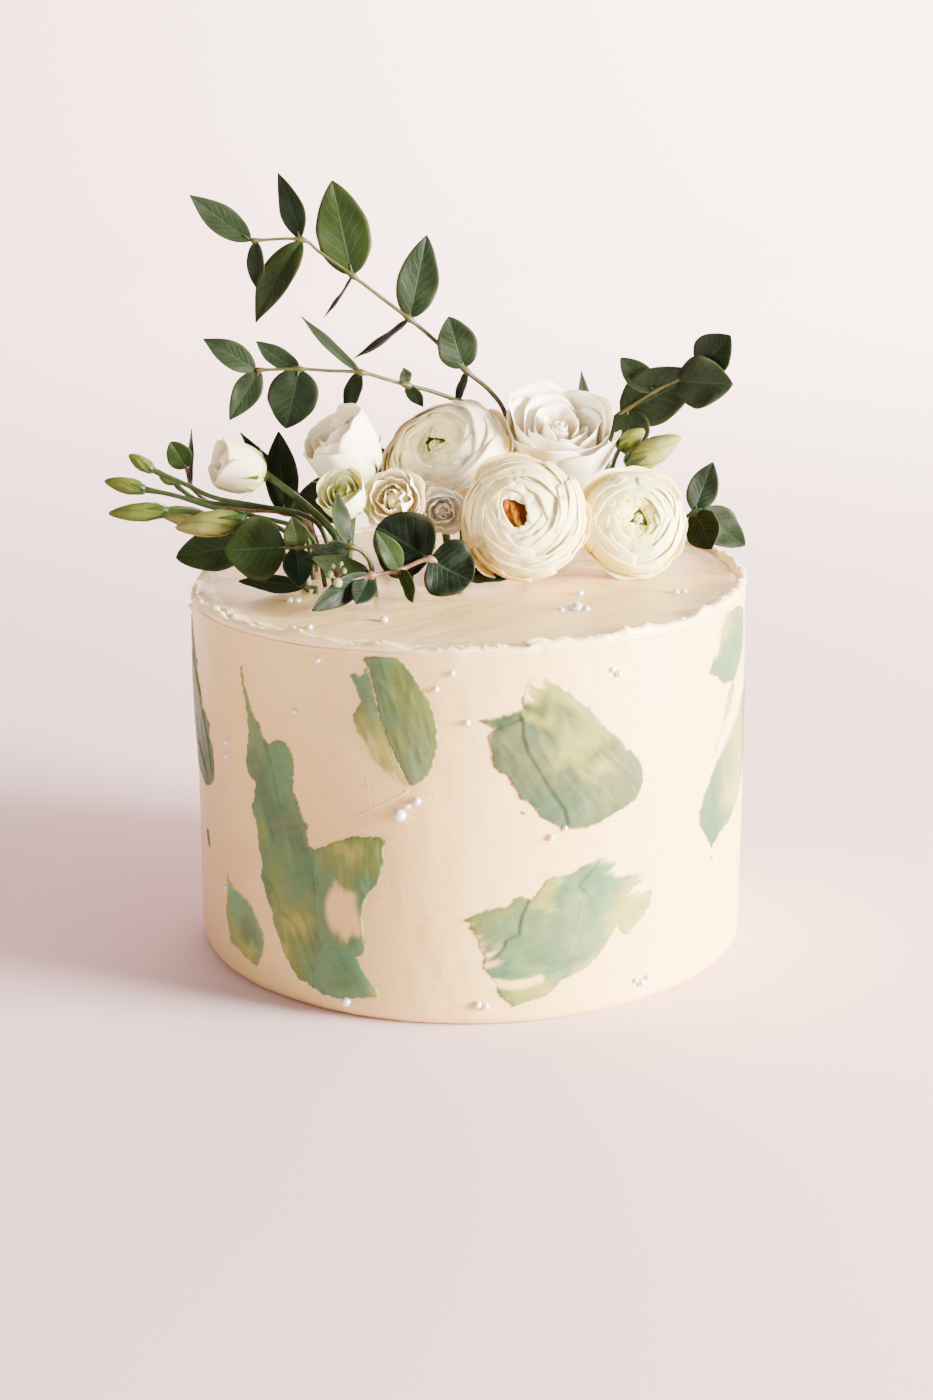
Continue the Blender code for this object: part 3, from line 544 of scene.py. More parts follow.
# Peaks pulled up in the lip: degrees round from the front, height and half width in mm, and lean
lipPeaks = [
    (-66, 1.2, 3, 0.4), (-60, 1.4, 2.6, -0.5), (-52, 0.6, 4, 0.3), (-38, 3, 4.2, 0.9),
    (-34, 1.2, 2, -0.6), (-26, 0.6, 5, 0.2), (-18, 1.8, 4.6, 0.7), (-9, 0.5, 3, 0.4),
    (-3, 0.8, 3.5, -0.4), (6, 0.6, 4.5, 0.5), (13, 2.6, 2.2, 1.3), (17, 1.4, 5, 0.9),
    (24, 0.6, 3, 0.3), (32, 3, 3.4, -0.8), (36, 1.6, 3, 0.9), (44, 0.7, 4, -0.4),
    (55, 2.6, 3.4, -0.9), (63, 1, 3, 0.5), (71, 2.4, 3, -0.7), (80, 1.2, 4, 0.4),
    (92, 1.8, 3.6, -0.5), (104, 2.2, 3.2, 0.8), (121, 1.4, 4, -0.6), (137, 2.4, 3.4, 0.9),
    (149, 1.2, 3, 0.4), (163, 2.2, 4, -0.7), (178, 1.6, 3.2, 0.8), (194, 2.4, 3.6, -0.9),
    (207, 1.2, 3, 0.5), (221, 2, 3.6, 0.8), (236, 1.6, 3, -0.6), (249, 2.4, 3.4, 0.8),
    (262, 1.2, 4, -0.4), (274, 1.8, 3, 0.6), (285, 1, 4, -0.5),
]


def lipShape(along):
    # height, lean, width and inner slope of the rim, metres round from the front
    r = cakeForm["radius"]
    angle = along / r - math.pi / 2
    wave = 0.5 + 0.42 * roundAbout(along, 47, 3.1) + 0.26 * roundAbout(along, 121, 8.7)
    teeth = 0.10 * roundAbout(along, 373, 1.9) + 0.06 * roundAbout(along, 811, 5.5)
    height = cakeForm["lipHeight"] * np.clip(0.42 * lipWave(angle) + 0.66 * wave + teeth, 0.28, 1.25)
    lean = 0.0009 * roundAbout(along, 58, 12.3) + 0.0004 * roundAbout(along, 190, 4.4)
    width = 0.0028 + 0.0010 * roundAbout(along, 64, 21.0) + 0.0004 * roundAbout(along, 210, 2.2)
    collar = 0.0060 + 0.0038 * roundAbout(along, 17, 30.5) + 0.0012 * roundAbout(along, 71, 33.0)
    for degrees, tall, half, bend in lipPeaks:
        tall, half = 0.001 * tall, 0.001 * half
        turn = (along / r - math.radians(degrees) + math.pi) % (2 * math.pi) - math.pi
        away = turn * r / half - 0.35 * np.sign(bend)
        peak = np.exp(-(np.abs(away) ** 1.5))
        height = height + 0.75 * tall * peak
        lean = lean - 0.0012 * bend * peak
        width = width + 0.0008 * peak
    return height, lean, np.clip(width, 0.0012, 0.0042), collar


def knifeWay(x, y):
    # along and across the way the knife went over the top
    turn = math.radians(cakeForm["knifeTurn"])
    return x * math.cos(turn) + y * math.sin(turn), y * math.cos(turn) - x * math.sin(turn)


def addRow(rows, along, radius, z, mapAcross, mapUp):
    # one turn of points round the cake, each with its place in the map
    angle = along / cakeForm["radius"]
    rows.append(joined(radius * np.sin(angle), -radius * np.cos(angle), z, mapAcross, mapUp))


def addSideRows(rows, along):
    foot = cakeForm["footRounding"]
    rounding = np.linspace(0, 1, cakeForm["footRows"] + 1)[:-1] ** 1.5 * foot
    upright = np.linspace(foot, cakeForm["sideTop"], cakeForm["sideRows"])
    addRow(rows, along, 0.02, 0.0, along, 0.0)
    for h in np.concatenate([rounding, upright]):
        addRow(rows, along, sideRadius(along, h), h + sideTilt(along, h), along, h)


def addLipRows(rows, along, lip):
    # the side swells a little under the rim, and the lip then folds over it
    height, lean, width, _ = lip
    level, drops = cakeForm["height"], cakeForm["lipDrops"]
    rim = topZ(cakeForm["radius"] * np.sin(along / cakeForm["radius"]))
    rimRadius = sideRadius(along, cakeForm["lipFoot"])
    bulge = 0.55 + 0.9 * roundAbout(along, 41, 50.0) + 0.4 * roundAbout(along, 150, 51.0)
    bulge = 0.00040 * np.clip(bulge, 0, 1.7)
    for drop in drops:
        swell = bulge * ease((drops[0] - drop) / drops[0])
        fold = 0.00008 * roundAbout(along, 300, 60 - 900 * drop)
        addRow(rows, along, rimRadius + swell + fold, rim - drop, along, level - drop)
    thick = 0.62 * width
    for turn in np.radians(cakeForm["lipTurns"]):
        share = 0.5 + 0.5 * math.sin(turn)
        fold = 0.00010 * roundAbout(along, 520, 40 + 2 * turn) * max(math.sin(turn), 0)
        outward = rimRadius + bulge - thick + thick * math.cos(turn) + lean * share * 0.7 + fold
        rise = rim + np.maximum(height, 0.0006) * (0.30 + 0.70 * math.sin(turn)) + 0.5 * fold
        addRow(rows, along, outward, rise, along, level + 0.002 * share)


def addTopRows(rows, along, lip):
    # the collar falls from the lip, and the top then runs in to its middle
    height, _, width, collar = lip
    angle = along / cakeForm["radius"]
    inner = sideRadius(along, cakeForm["lipFoot"]) - 1.8 * width
    for part in np.linspace(0, 1, cakeForm["collarRows"] + 1)[1:]:
        radius = inner - collar * part
        x, y = radius * np.sin(angle), -radius * np.cos(angle)
        heap = 0.0006 * (1 - part) ** 2 * (0.6 + 0.4 * roundAbout(along, 38, 17.0))
        fall = 0.30 * height * (1 - ease(part)) + heap
        ripple = 0.00020 * wander(x * 190 + 60, -y * 190 + 60) * (1 - part)
        addRow(rows, along, radius, topZ(x) + fall + ripple, *knifeWay(x, y))
    lastRadius = inner - collar
    for part in np.linspace(0, 1, cakeForm["topRows"])[1:]:
        radius = lastRadius * (1 - part) + 0.002 * part
        x, y = radius * np.sin(angle), -radius * np.cos(angle)
        ahead, across = knifeWay(x, y)
        step = 0.00034 * wander(ahead * 22 + 25, across * 110 + 28)
        step = step + 0.00022 * wander(ahead * 50 + 35, across * 300 + 48)
        addRow(rows, along, radius, topZ(x) + step * ease(part * 5) * ease((1 - part) * 8), ahead, across)


def makeIcing():
    r = cakeForm["radius"]
    along = np.linspace(-math.pi * r, math.pi * r, cakeForm["aroundSteps"], endpoint=False)
    rows, lip = [], lipShape(along)
    addSideRows(rows, along)
    lipStart = len(rows)
    addLipRows(rows, along, lip)
    topStart = len(rows)
    addTopRows(rows, along, lip)
    grid, maps = np.array(rows)[..., :3], np.array(rows)[..., 3:]
    # the torn rim is painted paler than the rest, a painted highlight where the raised rim catches the light
    comeIn, goOut = cakeForm["litRows"]
    turns = [lipStart, lipStart + comeIn, topStart, topStart + goOut]
    pale = np.interp(np.arange(len(rows)), turns, [0.0, 1.0, 1.0, 0.0])
    tint = np.array([[icingColours["litLipCream"] + (share,)] for share in pale])
    side, top = newPile(), newPile()
    sidePart, topPart = slice(0, topStart + 1), slice(topStart, None)
    index = addGrid(side, grid[sidePart], maps[sidePart], tint[sidePart], wrap=True)
    side["caps"].append(index[0, ::-1])
    index = addGrid(top, grid[topPart], maps[topPart], tint[topPart], wrap=True)
    top["caps"].append(index[-1])
    makePiece("icing_side", side, looks["icing"], "cake")
    makePiece("icing_top", top, looks["top"], "cake")


makeIcing()
print("stage: icing laid")


# Painted strokes. An outline and its lines are in mm round the side and up it. The tones are a grid of
# paint over the outline's box, top row first, each read from left to right. The paint flows from the
# first point of the run to the second. Creases are overlap steps darkened with a painted shadow, ridges
# thin raised lines paled with a painted highlight, bare lines show the icing, and a hole does so too: its
# middle, half width and half height. Deeper is what the paint is multiplied by, 1 if not given, and fade
# is how softly its edge thins out.

paints = {
    "s": (0.068, 0.150, 0.068),  # sage
    "d": (0.045, 0.104, 0.052),  # deep sage
    "b": (0.072, 0.170, 0.090),  # blue green
    "o": (0.106, 0.160, 0.044),  # olive
    "y": (0.275, 0.275, 0.058),  # pale yellow
    "w": (0.135, 0.215, 0.095),  # whitish green
    "c": (0.865, 0.615, 0.262),  # bare cream
}
strokeForms = {
    "upperLeftLeaf": {
        "deeper": 0.9,
        "run": ((-31.1, 132.5), (-19.5, 87)),
        "outline": [
            (-37, 131.1), (-35, 132.1), (-31.4, 133.1), (-28.1, 133.3), (-25.4, 133.2), (-23.8, 132.6),
            (-20.6, 129), (-16.9, 123.8), (-13.4, 117.4), (-12, 113.1), (-11, 107.7), (-10.8, 102.7),
            (-11.9, 96.7), (-13, 93.3), (-15.7, 89.4), (-20, 86.9), (-22.7, 91.8), (-25.6, 98.2),
            (-28.5, 104.6), (-31.2, 112.6), (-32.4, 120.7), (-34.5, 128.1),
        ],
        "tones": ["osoyy", "ssooy", "ssooo", "sssoo", "ssoso", "sssso", "sssss"],
        "ridges": [[(-32.9, 125), (-30.4, 124.1), (-26.7, 119.5)]],
    },
    "longScratch": {
        "run": ((-40.4, 74.2), (-21.1, 85.5)),
        "outline": [(-40.6, 74), (-31, 79.3), (-21.1, 85.2), (-21.3, 85.9), (-31.4, 80.3), (-40.9, 74.6)],
        "tones": ["cc", "cc"],
    },
    "crossScratch": {
        "run": ((-36, 89.5), (-34.6, 79.1)),
        "outline": [
            (-38.6, 86.2), (-36.6, 86.9), (-36.4, 89.6), (-35.6, 89.5), (-35.4, 87), (-32.6, 86.6),
            (-32.8, 85.8), (-35.2, 85.7), (-34.2, 78.9), (-35.1, 78.9), (-36.3, 85.6), (-38.4, 85.3),
        ],
        "tones": ["cc", "cc"],
    },
    "upperLeftSmear": {
        "run": ((-39, 126), (-22, 88)),
        "outline": [
            (-41.5, 125), (-39.4, 126), (-37.7, 125), (-35.4, 128), (-33.2, 122.8), (-30.9, 112.6),
            (-28.2, 104.6), (-25.3, 98.2), (-22.4, 91.8), (-20.3, 87.5), (-23.3, 87.8), (-26.6, 89.5),
            (-30.4, 92.8), (-33.7, 96.4), (-36.5, 100.6), (-39, 104.7), (-40, 109), (-40.3, 111.7),
            (-37.3, 116.4), (-38.4, 118.5), (-39.8, 122.2),
        ],
        "tones": ["bss", "bso", "oss", "yoo", "cyo", "cyy", "ccy"],
        "fade": 0.6,
    },
    "longLeft": {
        "deeper": 1.25,
        "run": ((-88.7, 111.1), (-51, 8.4)),
        "outline": [
            (-91.5, 121), (-90.6, 121), (-89, 114.4), (-88, 110.7), (-85.4, 105.6), (-82.1, 101.8),
            (-79.7, 97.7), (-76.6, 95), (-74.2, 96.6), (-71.9, 97.6), (-68.9, 97.6), (-66.1, 94.2),
            (-65.2, 89.8), (-65, 85.3), (-65.9, 80.7), (-63.9, 77.1), (-62.9, 72.9), (-61, 70), (-59.7, 68),
            (-60.1, 64.9), (-59, 61), (-56.1, 60.5), (-53.9, 55.7), (-54.6, 49.9), (-55.7, 42.5),
            (-55.9, 34.2), (-55.1, 29.6), (-52.3, 24.9), (-50.2, 19), (-47.5, 13.2), (-45.9, 7.4),
            (-50.5, 6.9), (-55.1, 7.3), (-58.7, 8.6), (-61.7, 9.8), (-64.9, 10.1), (-68.7, 13.5),
            (-71.3, 17.6), (-73.9, 22.8), (-76.5, 28.5), (-77.5, 33), (-80.3, 37.6), (-81.6, 41.9),
            (-83, 44.7), (-82.3, 49.7), (-83.7, 55.6), (-84, 59.7), (-84.5, 64.8), (-86.3, 67), (-87, 70.3),
            (-85.5, 72.5), (-84.4, 79), (-87, 80.7), (-88.8, 82.6), (-89.5, 85.9), (-88.2, 93),
            (-87.5, 98.9), (-88.1, 104.4), (-89.3, 108.7), (-91, 115),
        ],
        "tones": [
            "oooooo", "ooooos", "ossoys", "ossoos", "sdsbss", "sdssss", "sddsss", "ssddss", "sosdss",
            "dsosds", "sdoods", "ddoydd",
            "ssyosd", "ssyobb", "sssobb",
        ],
        "creases": [
            [(-82.1, 101.8), (-78.2, 95.2), (-75.3, 87.3), (-72.6, 76.5)],
            [
                (-78.1, 43.9), (-76.1, 41.2), (-74, 38.6), (-73.5, 34), (-69.4, 33.4), (-65.6, 30.1),
                (-62, 23.5), (-58.5, 15.8), (-58.4, 9),
            ],
        ],
        "ridges": [
            [(-76.8, 89.3), (-70.9, 83.1), (-66.7, 75.4), (-62.1, 67.7)],
            [(-69.6, 66.1), (-68.4, 61.7), (-64.8, 55.2), (-61.9, 46.5), (-58.4, 39.9), (-57.4, 33.9)],
            [(-65.4, 75.6), (-62.4, 70.6), (-59.6, 63.4)],
        ],
    },
    "leftLobe": {
        "deeper": 1.25,
        "run": ((-41.8, 67.4), (-40.8, 25.1)),
        "outline": [
            (-58.5, 60), (-56.1, 60.7), (-50.2, 63.5), (-41.9, 67.2), (-35.6, 67.7), (-31, 68.4),
            (-28.8, 67.4), (-30.1, 64), (-30.2, 59.5), (-30.7, 55.3), (-32.8, 51.5), (-35.5, 47.1),
            (-37.1, 45.9), (-38.2, 41.2), (-38.5, 37.5), (-37.8, 32.4), (-37.1, 27.3), (-37.5, 24.4),
            (-40.1, 23.8), (-40.7, 22.7), (-45.6, 22.4), (-51.8, 22.4), (-55.8, 26.9), (-57.2, 33.7),
            (-57.4, 42), (-57, 49.4), (-57.5, 57.5),
        ],
        "tones": ["soooo", "soyoo", "sooos", "ssoss", "sscsb", "sscbb", "sscbs", "ssssb", "sbbbb"],
        "hole": (-47.8, 39.6, 4.9, 8.6),
        "ridges": [
            [(-56.1, 60), (-52.7, 54.4), (-48.9, 50.9)],
            [(-56.6, 52.1), (-56.6, 48.4), (-55.6, 45.1), (-56.2, 39.2), (-55.8, 33.1)],
            [(-39.1, 51.8), (-37.6, 47.9), (-37.1, 45.9)],
        ],
    },
    "leftHook": {
        "deeper": 1.25,
        "run": ((-51.3, 31.5), (-37.6, 9.2)),
        "outline": [
            (-55, 29), (-51.6, 28.7), (-43.3, 29.1), (-40.1, 23.8), (-39.1, 20.3), (-36.5, 17),
            (-33.5, 13.2), (-32.2, 10), (-36.7, 9.1), (-40.4, 8.3), (-45.9, 7.2), (-50.5, 6.7),
            (-55.1, 6.9), (-57.4, 10.8), (-58.1, 15.8), (-57.6, 21.2),
        ],
        "tones": ["ssbss", "sbbbs", "bbsbw", "bbsbw", "bssby", "dbbbo"],
        "ridges": [[(-51.7, 27.6), (-52.1, 23.4), (-50.2, 19), (-48.6, 14.6)]],
    },
    "lowLeftDab": {
        "deeper": 1.75,
        "run": ((-99.3, 38.6), (-90.2, 8.5)),
        "outline": [
            (-106, 39.5), (-103.2, 36.9), (-99.1, 35), (-91.5, 34), (-88.1, 32), (-85.4, 28.2),
            (-83.5, 25.6), (-82.4, 22.7), (-82.2, 18.5), (-83.2, 14.4), (-86.6, 9.6), (-90.1, 10),
            (-98.5, 11.6), (-105, 12.4), (-105.9, 16.5), (-107.9, 21.9), (-107.6, 26.8), (-106, 32.6),
        ],
        "tones": ["ywyc", "wbbs", "obss", "osds", "oods", "soys", "syoo"],
        "fade": 0.9,
    },
    "leftEdge": {
        "deeper": 0.85,
        "run": ((-148, 117), (-118, 68)),
        "outline": [
            (-155, 128), (-138, 120), (-136.3, 114.7), (-130.6, 113.8), (-133.5, 110.2), (-130.8, 107.3),
            (-127.4, 103.6), (-125.8, 97.5), (-120.7, 95.6), (-117.3, 92.8), (-118.7, 87.7), (-114.7, 85.3),
            (-114.3, 80.7), (-113.6, 76.2), (-115.1, 72.2), (-117, 70.2), (-125.1, 67.3), (-135, 70),
            (-146, 80), (-154, 96), (-158, 112),
        ],
        "tones": ["osoo", "ssos", "ssos", "sdsb", "sdds", "sddb"],
        "creases": [
            [(-138.8, 114.1), (-129.9, 104.7), (-125.6, 98.7), (-120.4, 89.6), (-115.6, 75.6)],
            [(-131.1, 81.2), (-124.2, 75.5)],
        ],
    },
    "leftSliver": {
        "run": ((-125, 50), (-124, 44)),
        "outline": [(-126.5, 50.5), (-124, 50), (-122.6, 47), (-122.8, 44), (-124.6, 43.6), (-126, 47)],
        "tones": ["ds", "ds"],
    },
    "bigCentreLeaf": {
        "run": ((12.7, 120.5), (49.8, 69.6)),
        "outline": [
            (20.4, 124.3), (22.3, 126), (25.6, 124.9), (28.8, 122.6), (31.4, 121.1), (34.9, 118.2),
            (37.6, 115.8), (40.3, 113.2), (44, 109.7), (46.8, 106.6), (49.2, 104.1), (51.6, 102),
            (54.6, 99), (56.2, 96.5), (57.7, 95), (60.3, 92.4), (61.9, 89.9), (63.3, 86.6), (63.6, 83.5),
            (62.6, 80.6), (60.6, 77), (56.9, 75.5), (52.4, 74.1), (49.5, 72.4), (45.2, 70.9), (40.6, 69.8),
            (35.6, 69.8), (32.5, 70.4), (29.9, 72), (26.4, 74), (23.8, 75.6), (22.6, 78.3), (20.4, 80.6),
            (18.8, 81.6), (16.9, 82.5), (16.3, 84.7), (15, 87), (13, 89.2), (12.5, 91.4), (10.1, 92.3),
            (8, 94.1), (7, 96.7), (7.4, 99.7), (6.6, 102.2), (6.2, 105.6), (8.1, 107.5), (6, 108.6),
            (3.2, 110.8), (6.1, 111.6), (9.3, 111.9), (12.2, 113.1), (15.9, 113.5), (17.5, 114.1),
            (17.4, 117.4), (17.9, 121.6),
        ],
        "tones": [
            "ccyycc", "cyyyyc", "soyyoc", "sywyyo", "wwsyyoc", "ssbyyoo", "ossyoos", "sbssyos", "bbsswss",
            "bbbbwos", "cbbbwss", "cbbwsos",
        ],
        "creases": [
            [
                (33.4, 72.9), (32.5, 77.8), (29.8, 81.5), (26.4, 86.6), (23, 92.9), (19.6, 98.7),
                (17.9, 104.3), (17.7, 109.4), (16.7, 112.4),
            ],
            [(7.7, 107.5), (12.2, 108.8), (17.5, 110.9)],
        ],
        "deeper": 0.42,
        "ridges": [[(48.3, 96), (51.7, 92.1), (55.8, 88.8)], [(58.4, 81.8), (60, 78.9), (59.5, 76.8)]],
        "fade": 0.5,
    },
    "lowCentre": {
        "run": ((-0.5, 28.7), (66.4, 46.2)),
        "outline": [
            (-3.2, 39.7), (-0.1, 41), (4.2, 43.2), (9.5, 44.6), (12, 44.7), (14.9, 46.9), (17.3, 48),
            (20.3, 47), (22.7, 48.1), (25.2, 51.7), (28.7, 53.9), (33.8, 53.8), (38.5, 56.2), (43.8, 58),
            (46, 59.2), (49.9, 58), (52.8, 55), (54.9, 53.6), (54.5, 50.2), (57.6, 50.5), (61.8, 50.6),
            (66, 50.8), (66.6, 48.5), (67, 44.1), (68.4, 42.4), (67.8, 37.9), (64.6, 33.4), (60.3, 30.1),
            (57.3, 27.7), (54.6, 29.8), (53.6, 32.6), (50.8, 29), (48, 25.3), (45.2, 21.1), (40.3, 18.3),
            (36.1, 16.8), (31.4, 15.4), (28.8, 12.1), (26.3, 10.3), (21.8, 9.2), (17.8, 8.2), (14.3, 7.4),
            (11.9, 9.9), (10.4, 11), (8.5, 15.3), (6.6, 19), (4.2, 21.7), (3.7, 23.7), (4.7, 26.3),
            (2.3, 30.5), (1.3, 33.6), (0.6, 36.1), (-0.8, 37.2), (1.1, 38.7),
        ],
        "tones": [
            "cccycbbcccc", "ccoyybsbccc", "osooyssbwyc", "ooosyswbwyc", "oossssbbwyy", "cosssbbwyyw",
            "ccbsswwwycy", "cbbwsswycyy",
            "cbswwwycccc", "ccwyywccccc", "ccyoscccccc",
        ],
        "creases": [
            [(5.9, 25), (7.6, 25.7), (11, 29.2), (11.9, 32.2), (16.3, 34), (17.3, 40.6), (19.8, 46)],
            [(40.1, 46.8), (37.7, 49.7), (40.6, 52.4), (44.4, 55.9), (46, 59.2)],
        ],
        "deeper": 0.8,
        "ridges": [
            [(65.8, 43.5), (61.4, 38.8), (56, 34.2), (54.2, 31.4)],
            [(40.1, 46.3), (38.1, 37.3), (36, 30.4), (34, 24.4), (26.8, 19.6)],
        ],
        "bare": [[(6.5, 17), (13.4, 15.6), (19.8, 15.9), (24, 17)]],
        "fade": 0.4,
    },
    "rightTop": {
        "deeper": 0.66,
        "run": ((122, 129), (109.5, 107)),
        "outline": [
            (112.5, 131.6), (124.4, 131.8), (135.4, 128.6), (137.7, 122.3), (133.3, 114.5), (125.5, 109),
            (120.6, 106.1), (110.6, 107.3), (105.5, 110.6), (97.7, 113.8), (102.1, 120.8), (104.1, 124.4),
            (108.6, 128.7),
        ],
        "tones": ["cyss", "cysb", "csbb", "sbbb", "sbbs", "ooob"],
        "creases": [[(104.2, 123.7), (103.7, 118.4), (102.5, 112.6)]],
    },
    "rightTrail": {
        "run": ((121, 104), (104, 86)),
        "outline": [
            (118.8, 105.4), (122.8, 103.8), (119.8, 101.5), (117.9, 97.9), (114.1, 94), (108.2, 88.7),
            (104.5, 84.5), (102.5, 85.4), (106.6, 89.8), (108.8, 92.7), (112, 98), (114.5, 102.9),
        ],
        "tones": ["cyo", "cyy", "cyc", "yyc"],
    },
    "rightLow": {
        "deeper": 0.66,
        "run": ((140, 94), (101, 48)),
        "outline": [
            (148.6, 100), (151.6, 88.6), (148.6, 76.5), (138.3, 67.6), (129, 59.6), (118.7, 55),
            (108.4, 52.5), (102.4, 49), (99.4, 53), (94, 59.4), (93.2, 64.5), (96.1, 70.6), (101.2, 76.1),
            (104.7, 80), (113.8, 85.7), (124.6, 91.1), (134.3, 96.4),
        ],
        "tones": ["ccyss", "cyyss", "swysb", "sswyss", "ssyyss", "ssyss", "syyss"],
    },
    "flecks": {
        "run": ((16, 78), (24, 73)),
        "outline": [(15.6, 78.6), (18.4, 78), (20.2, 76.6), (18, 76.9)],
        "tones": ["so", "so"],
    },
}
backStrokes = {  # round the back: the stroke that each is like, and where it runs
    "backLeaf1": ("bigCentreLeaf", (176, 98), (206, 50)),
    "backLeaf2": ("upperLeftLeaf", (232, 124), (246, 80)),
    "backLong": ("longLeft", (-196, 122), (-224, 24)),
    "backLow": ("lowCentre", (214, 24), (276, 40)),
    "backLeaf3": ("bigCentreLeaf", (-312, 110), (-276, 62)),
}
strokeGrain = {  # cell, margin and rimReach are in mm, the rest in metres
    "cell": 0.58,
    "margin": 1.2,
    "rimReach": 3.0,
    "relief": 0.00050,
    "rim": 0.00030,
    "crease": 0.00021,
    "skirt": -0.0005,
}


def distanceTo(line, x, y):
    # nearest distance to a broken line, and which side of it a point is on
    best = np.full(x.shape, 1e9)
    side = np.ones(x.shape)
    for (x0, y0), (x1, y1) in zip(line[:-1], line[1:]):
        dx, dy = x1 - x0, y1 - y0
        t = np.clip(((x - x0) * dx + (y - y0) * dy) / (dx * dx + dy * dy), 0, 1)
        gap = np.hypot(x - x0 - t * dx, y - y0 - t * dy)
        turn = np.sign((x - x0) * dy - (y - y0) * dx)
        side = np.where(gap < best, turn, side)
        best = np.minimum(best, gap)
    return best, side


def insideOf(outline, x, y):
    # how far inside an outline each point is; outside is less than zero
    gap, _ = distanceTo(outline + outline[:1], x, y)
    crossings = np.zeros(x.shape, int)
    for (x0, y0), (x1, y1) in zip(outline, outline[1:] + outline[:1]):
        if y0 != y1:
            level = (y0 > y) != (y1 > y)
            crossings += level & (x < x0 + (y - y0) * (x1 - x0) / (y1 - y0))
    return np.where(crossings % 2 == 1, gap, -gap)


def movedTo(points, run, start, end):
    # the same outline laid along another run; its length scales and its width stays
    (ux, uy), length = unit(np.subtract(run[1], run[0])), math.dist(*run)
    (vx, vy), newLength = unit(np.subtract(end, start)), math.dist(start, end)
    moved = []
    for x, y in points:
        ahead = ((x - run[0][0]) * ux + (y - run[0][1]) * uy) * newLength / length
        reach = -(x - run[0][0]) * uy + (y - run[0][1]) * ux
        moved.append((start[0] + ahead * vx - reach * vy, start[1] + ahead * vy + reach * vx))
    return moved


def toneTable(rows, deeper):
    width = max(len(row) for row in rows)
    picked = [[row[min(int(k * len(row) / width), len(row) - 1)] for k in range(width)] for row in rows]
    table = np.array([[paints[key] + (0.0 if key == "c" else 1.0,) for key in row] for row in picked])
    shares = {"c": 1.0, "y": 0.5 + 0.5 * deeper}
    table[..., :3] *= np.array([[shares.get(key, deeper) for key in row] for row in picked])[..., None]
    return table


def readTable(table, down, over):
    rows, columns = table.shape[:2]
    down, over = np.clip(down, 0, 1) * (rows - 1), np.clip(over, 0, 1) * (columns - 1)
    i, j = np.clip(down.astype(int), 0, rows - 2), np.clip(over.astype(int), 0, columns - 2)
    u, v = ease(down - i)[..., None], ease(over - j)[..., None]
    upper = table[i, j] * (1 - v) + table[i, j + 1] * v
    lower = table[i + 1, j] * (1 - v) + table[i + 1, j + 1] * v
    return upper * (1 - u) + lower * u


def strokeTint(form, x, y, ahead, reach, seed):
    # the paint of each point, dragged and streaked along the run; alpha is how well it covers
    low, high = np.min(form["outline"], 0), np.max(form["outline"], 0)
    down, over = (high[1] - y) / (high[1] - low[1]), (x - low[0]) / (high[0] - low[0])
    down = down + 0.060 * wander(ahead * 0.08, reach * 0.34 + seed)
    down = down + 0.02 * wander(ahead * 0.3 + seed, reach * 1.2)
    over = over + 0.075 * wander(ahead * 0.09 + seed, reach * 0.30)
    over = over + 0.03 * wander(ahead * 0.3, reach * 1.0 + seed)
    tint = readTable(toneTable(form["tones"], form.get("deeper", 1.0)), down, over)
    streak = 0.07 * wander(ahead * 0.10 + seed, reach * 1.5) + 0.05 * wander(ahead * 0.2, reach * 3.3 + seed)
    blotch = 0.07 * wander(x * 0.16 + seed, y * 0.16)
    tint[..., :3] *= (1 + streak + blotch)[..., None]
    return tint


def strokeCover(form, cover, x, y, ahead, reach, inside, seed):
    # bare tones end raggedly, a hole and bare lines show the icing, and the edge thins out
    drag = 0.30 * wander(ahead * 0.12, reach * 1.0 + seed)
    cover = np.where(cover > 0.97, 1, ease(cover * 1.25 + drag - 0.05))
    if "hole" in form:
        holeX, holeY, wide, tall = form["hole"]
        away = np.hypot((x - holeX) / wide, (y - holeY) / tall)
        cover = cover * (0.06 + 0.94 * ease((away - 0.62) * 1.8))
    for line in form.get("bare", []):
        away, _ = distanceTo(line, x, y)
        cover = cover * (0.10 + 0.90 * ease((away - 0.8) / 1.6))
    thin = 1.6 * form.get("fade", 0.0) * (0.5 + 0.5 * wander(x * 0.1, y * 0.1 + seed))
    return cover * ease((inside + 0.25) / (0.35 + thin))


def strokeRelief(ahead, reach, inside, seed):
    # the paint is thick in its middle, thin near its rim, and raised in a fine bead on the rim
    rim, thick = strokeGrain["rim"], strokeGrain["relief"]
    relief = rim + (thick - rim) * ease(inside / strokeGrain["rimReach"])
    relief = relief + 0.00010 * wander(ahead * 0.2, reach * 0.5 + seed)
    relief = relief + 0.00006 * wander(ahead * 0.16, reach * 2.2 + seed)
    return relief + 0.00010 * hill(inside - 0.5, 0.5)


def addLines(form, x, y, relief, tint):
    # creases and ridges, in the relief and in the paint: a painted shadow darkens each crease and a painted
    # highlight pales each ridge
    for line in form.get("creases", []):
        away, side = distanceTo(line, x, y)
        relief = relief + strokeGrain["crease"] * side * hill(away, 2.4) * ease(away / 0.45)
        relief = relief - 0.00006 * hill(away, 0.5)
        # a thin painted shadow along the crease
        tint[..., :3] *= (1 - 0.26 * hill(away, 0.30))[..., None]
    for line in form.get("ridges", []):
        away, _ = distanceTo(line, x, y)
        relief = relief + 0.00014 * hill(away, 0.55)
        # a painted highlight along the raised ridge, mixed towards the whitish green paint
        pale = 0.20 * hill(away, 0.42)[..., None]
        tint[..., :3] = tint[..., :3] * (1 - pale) + np.array(paints["w"]) * pale
    return relief


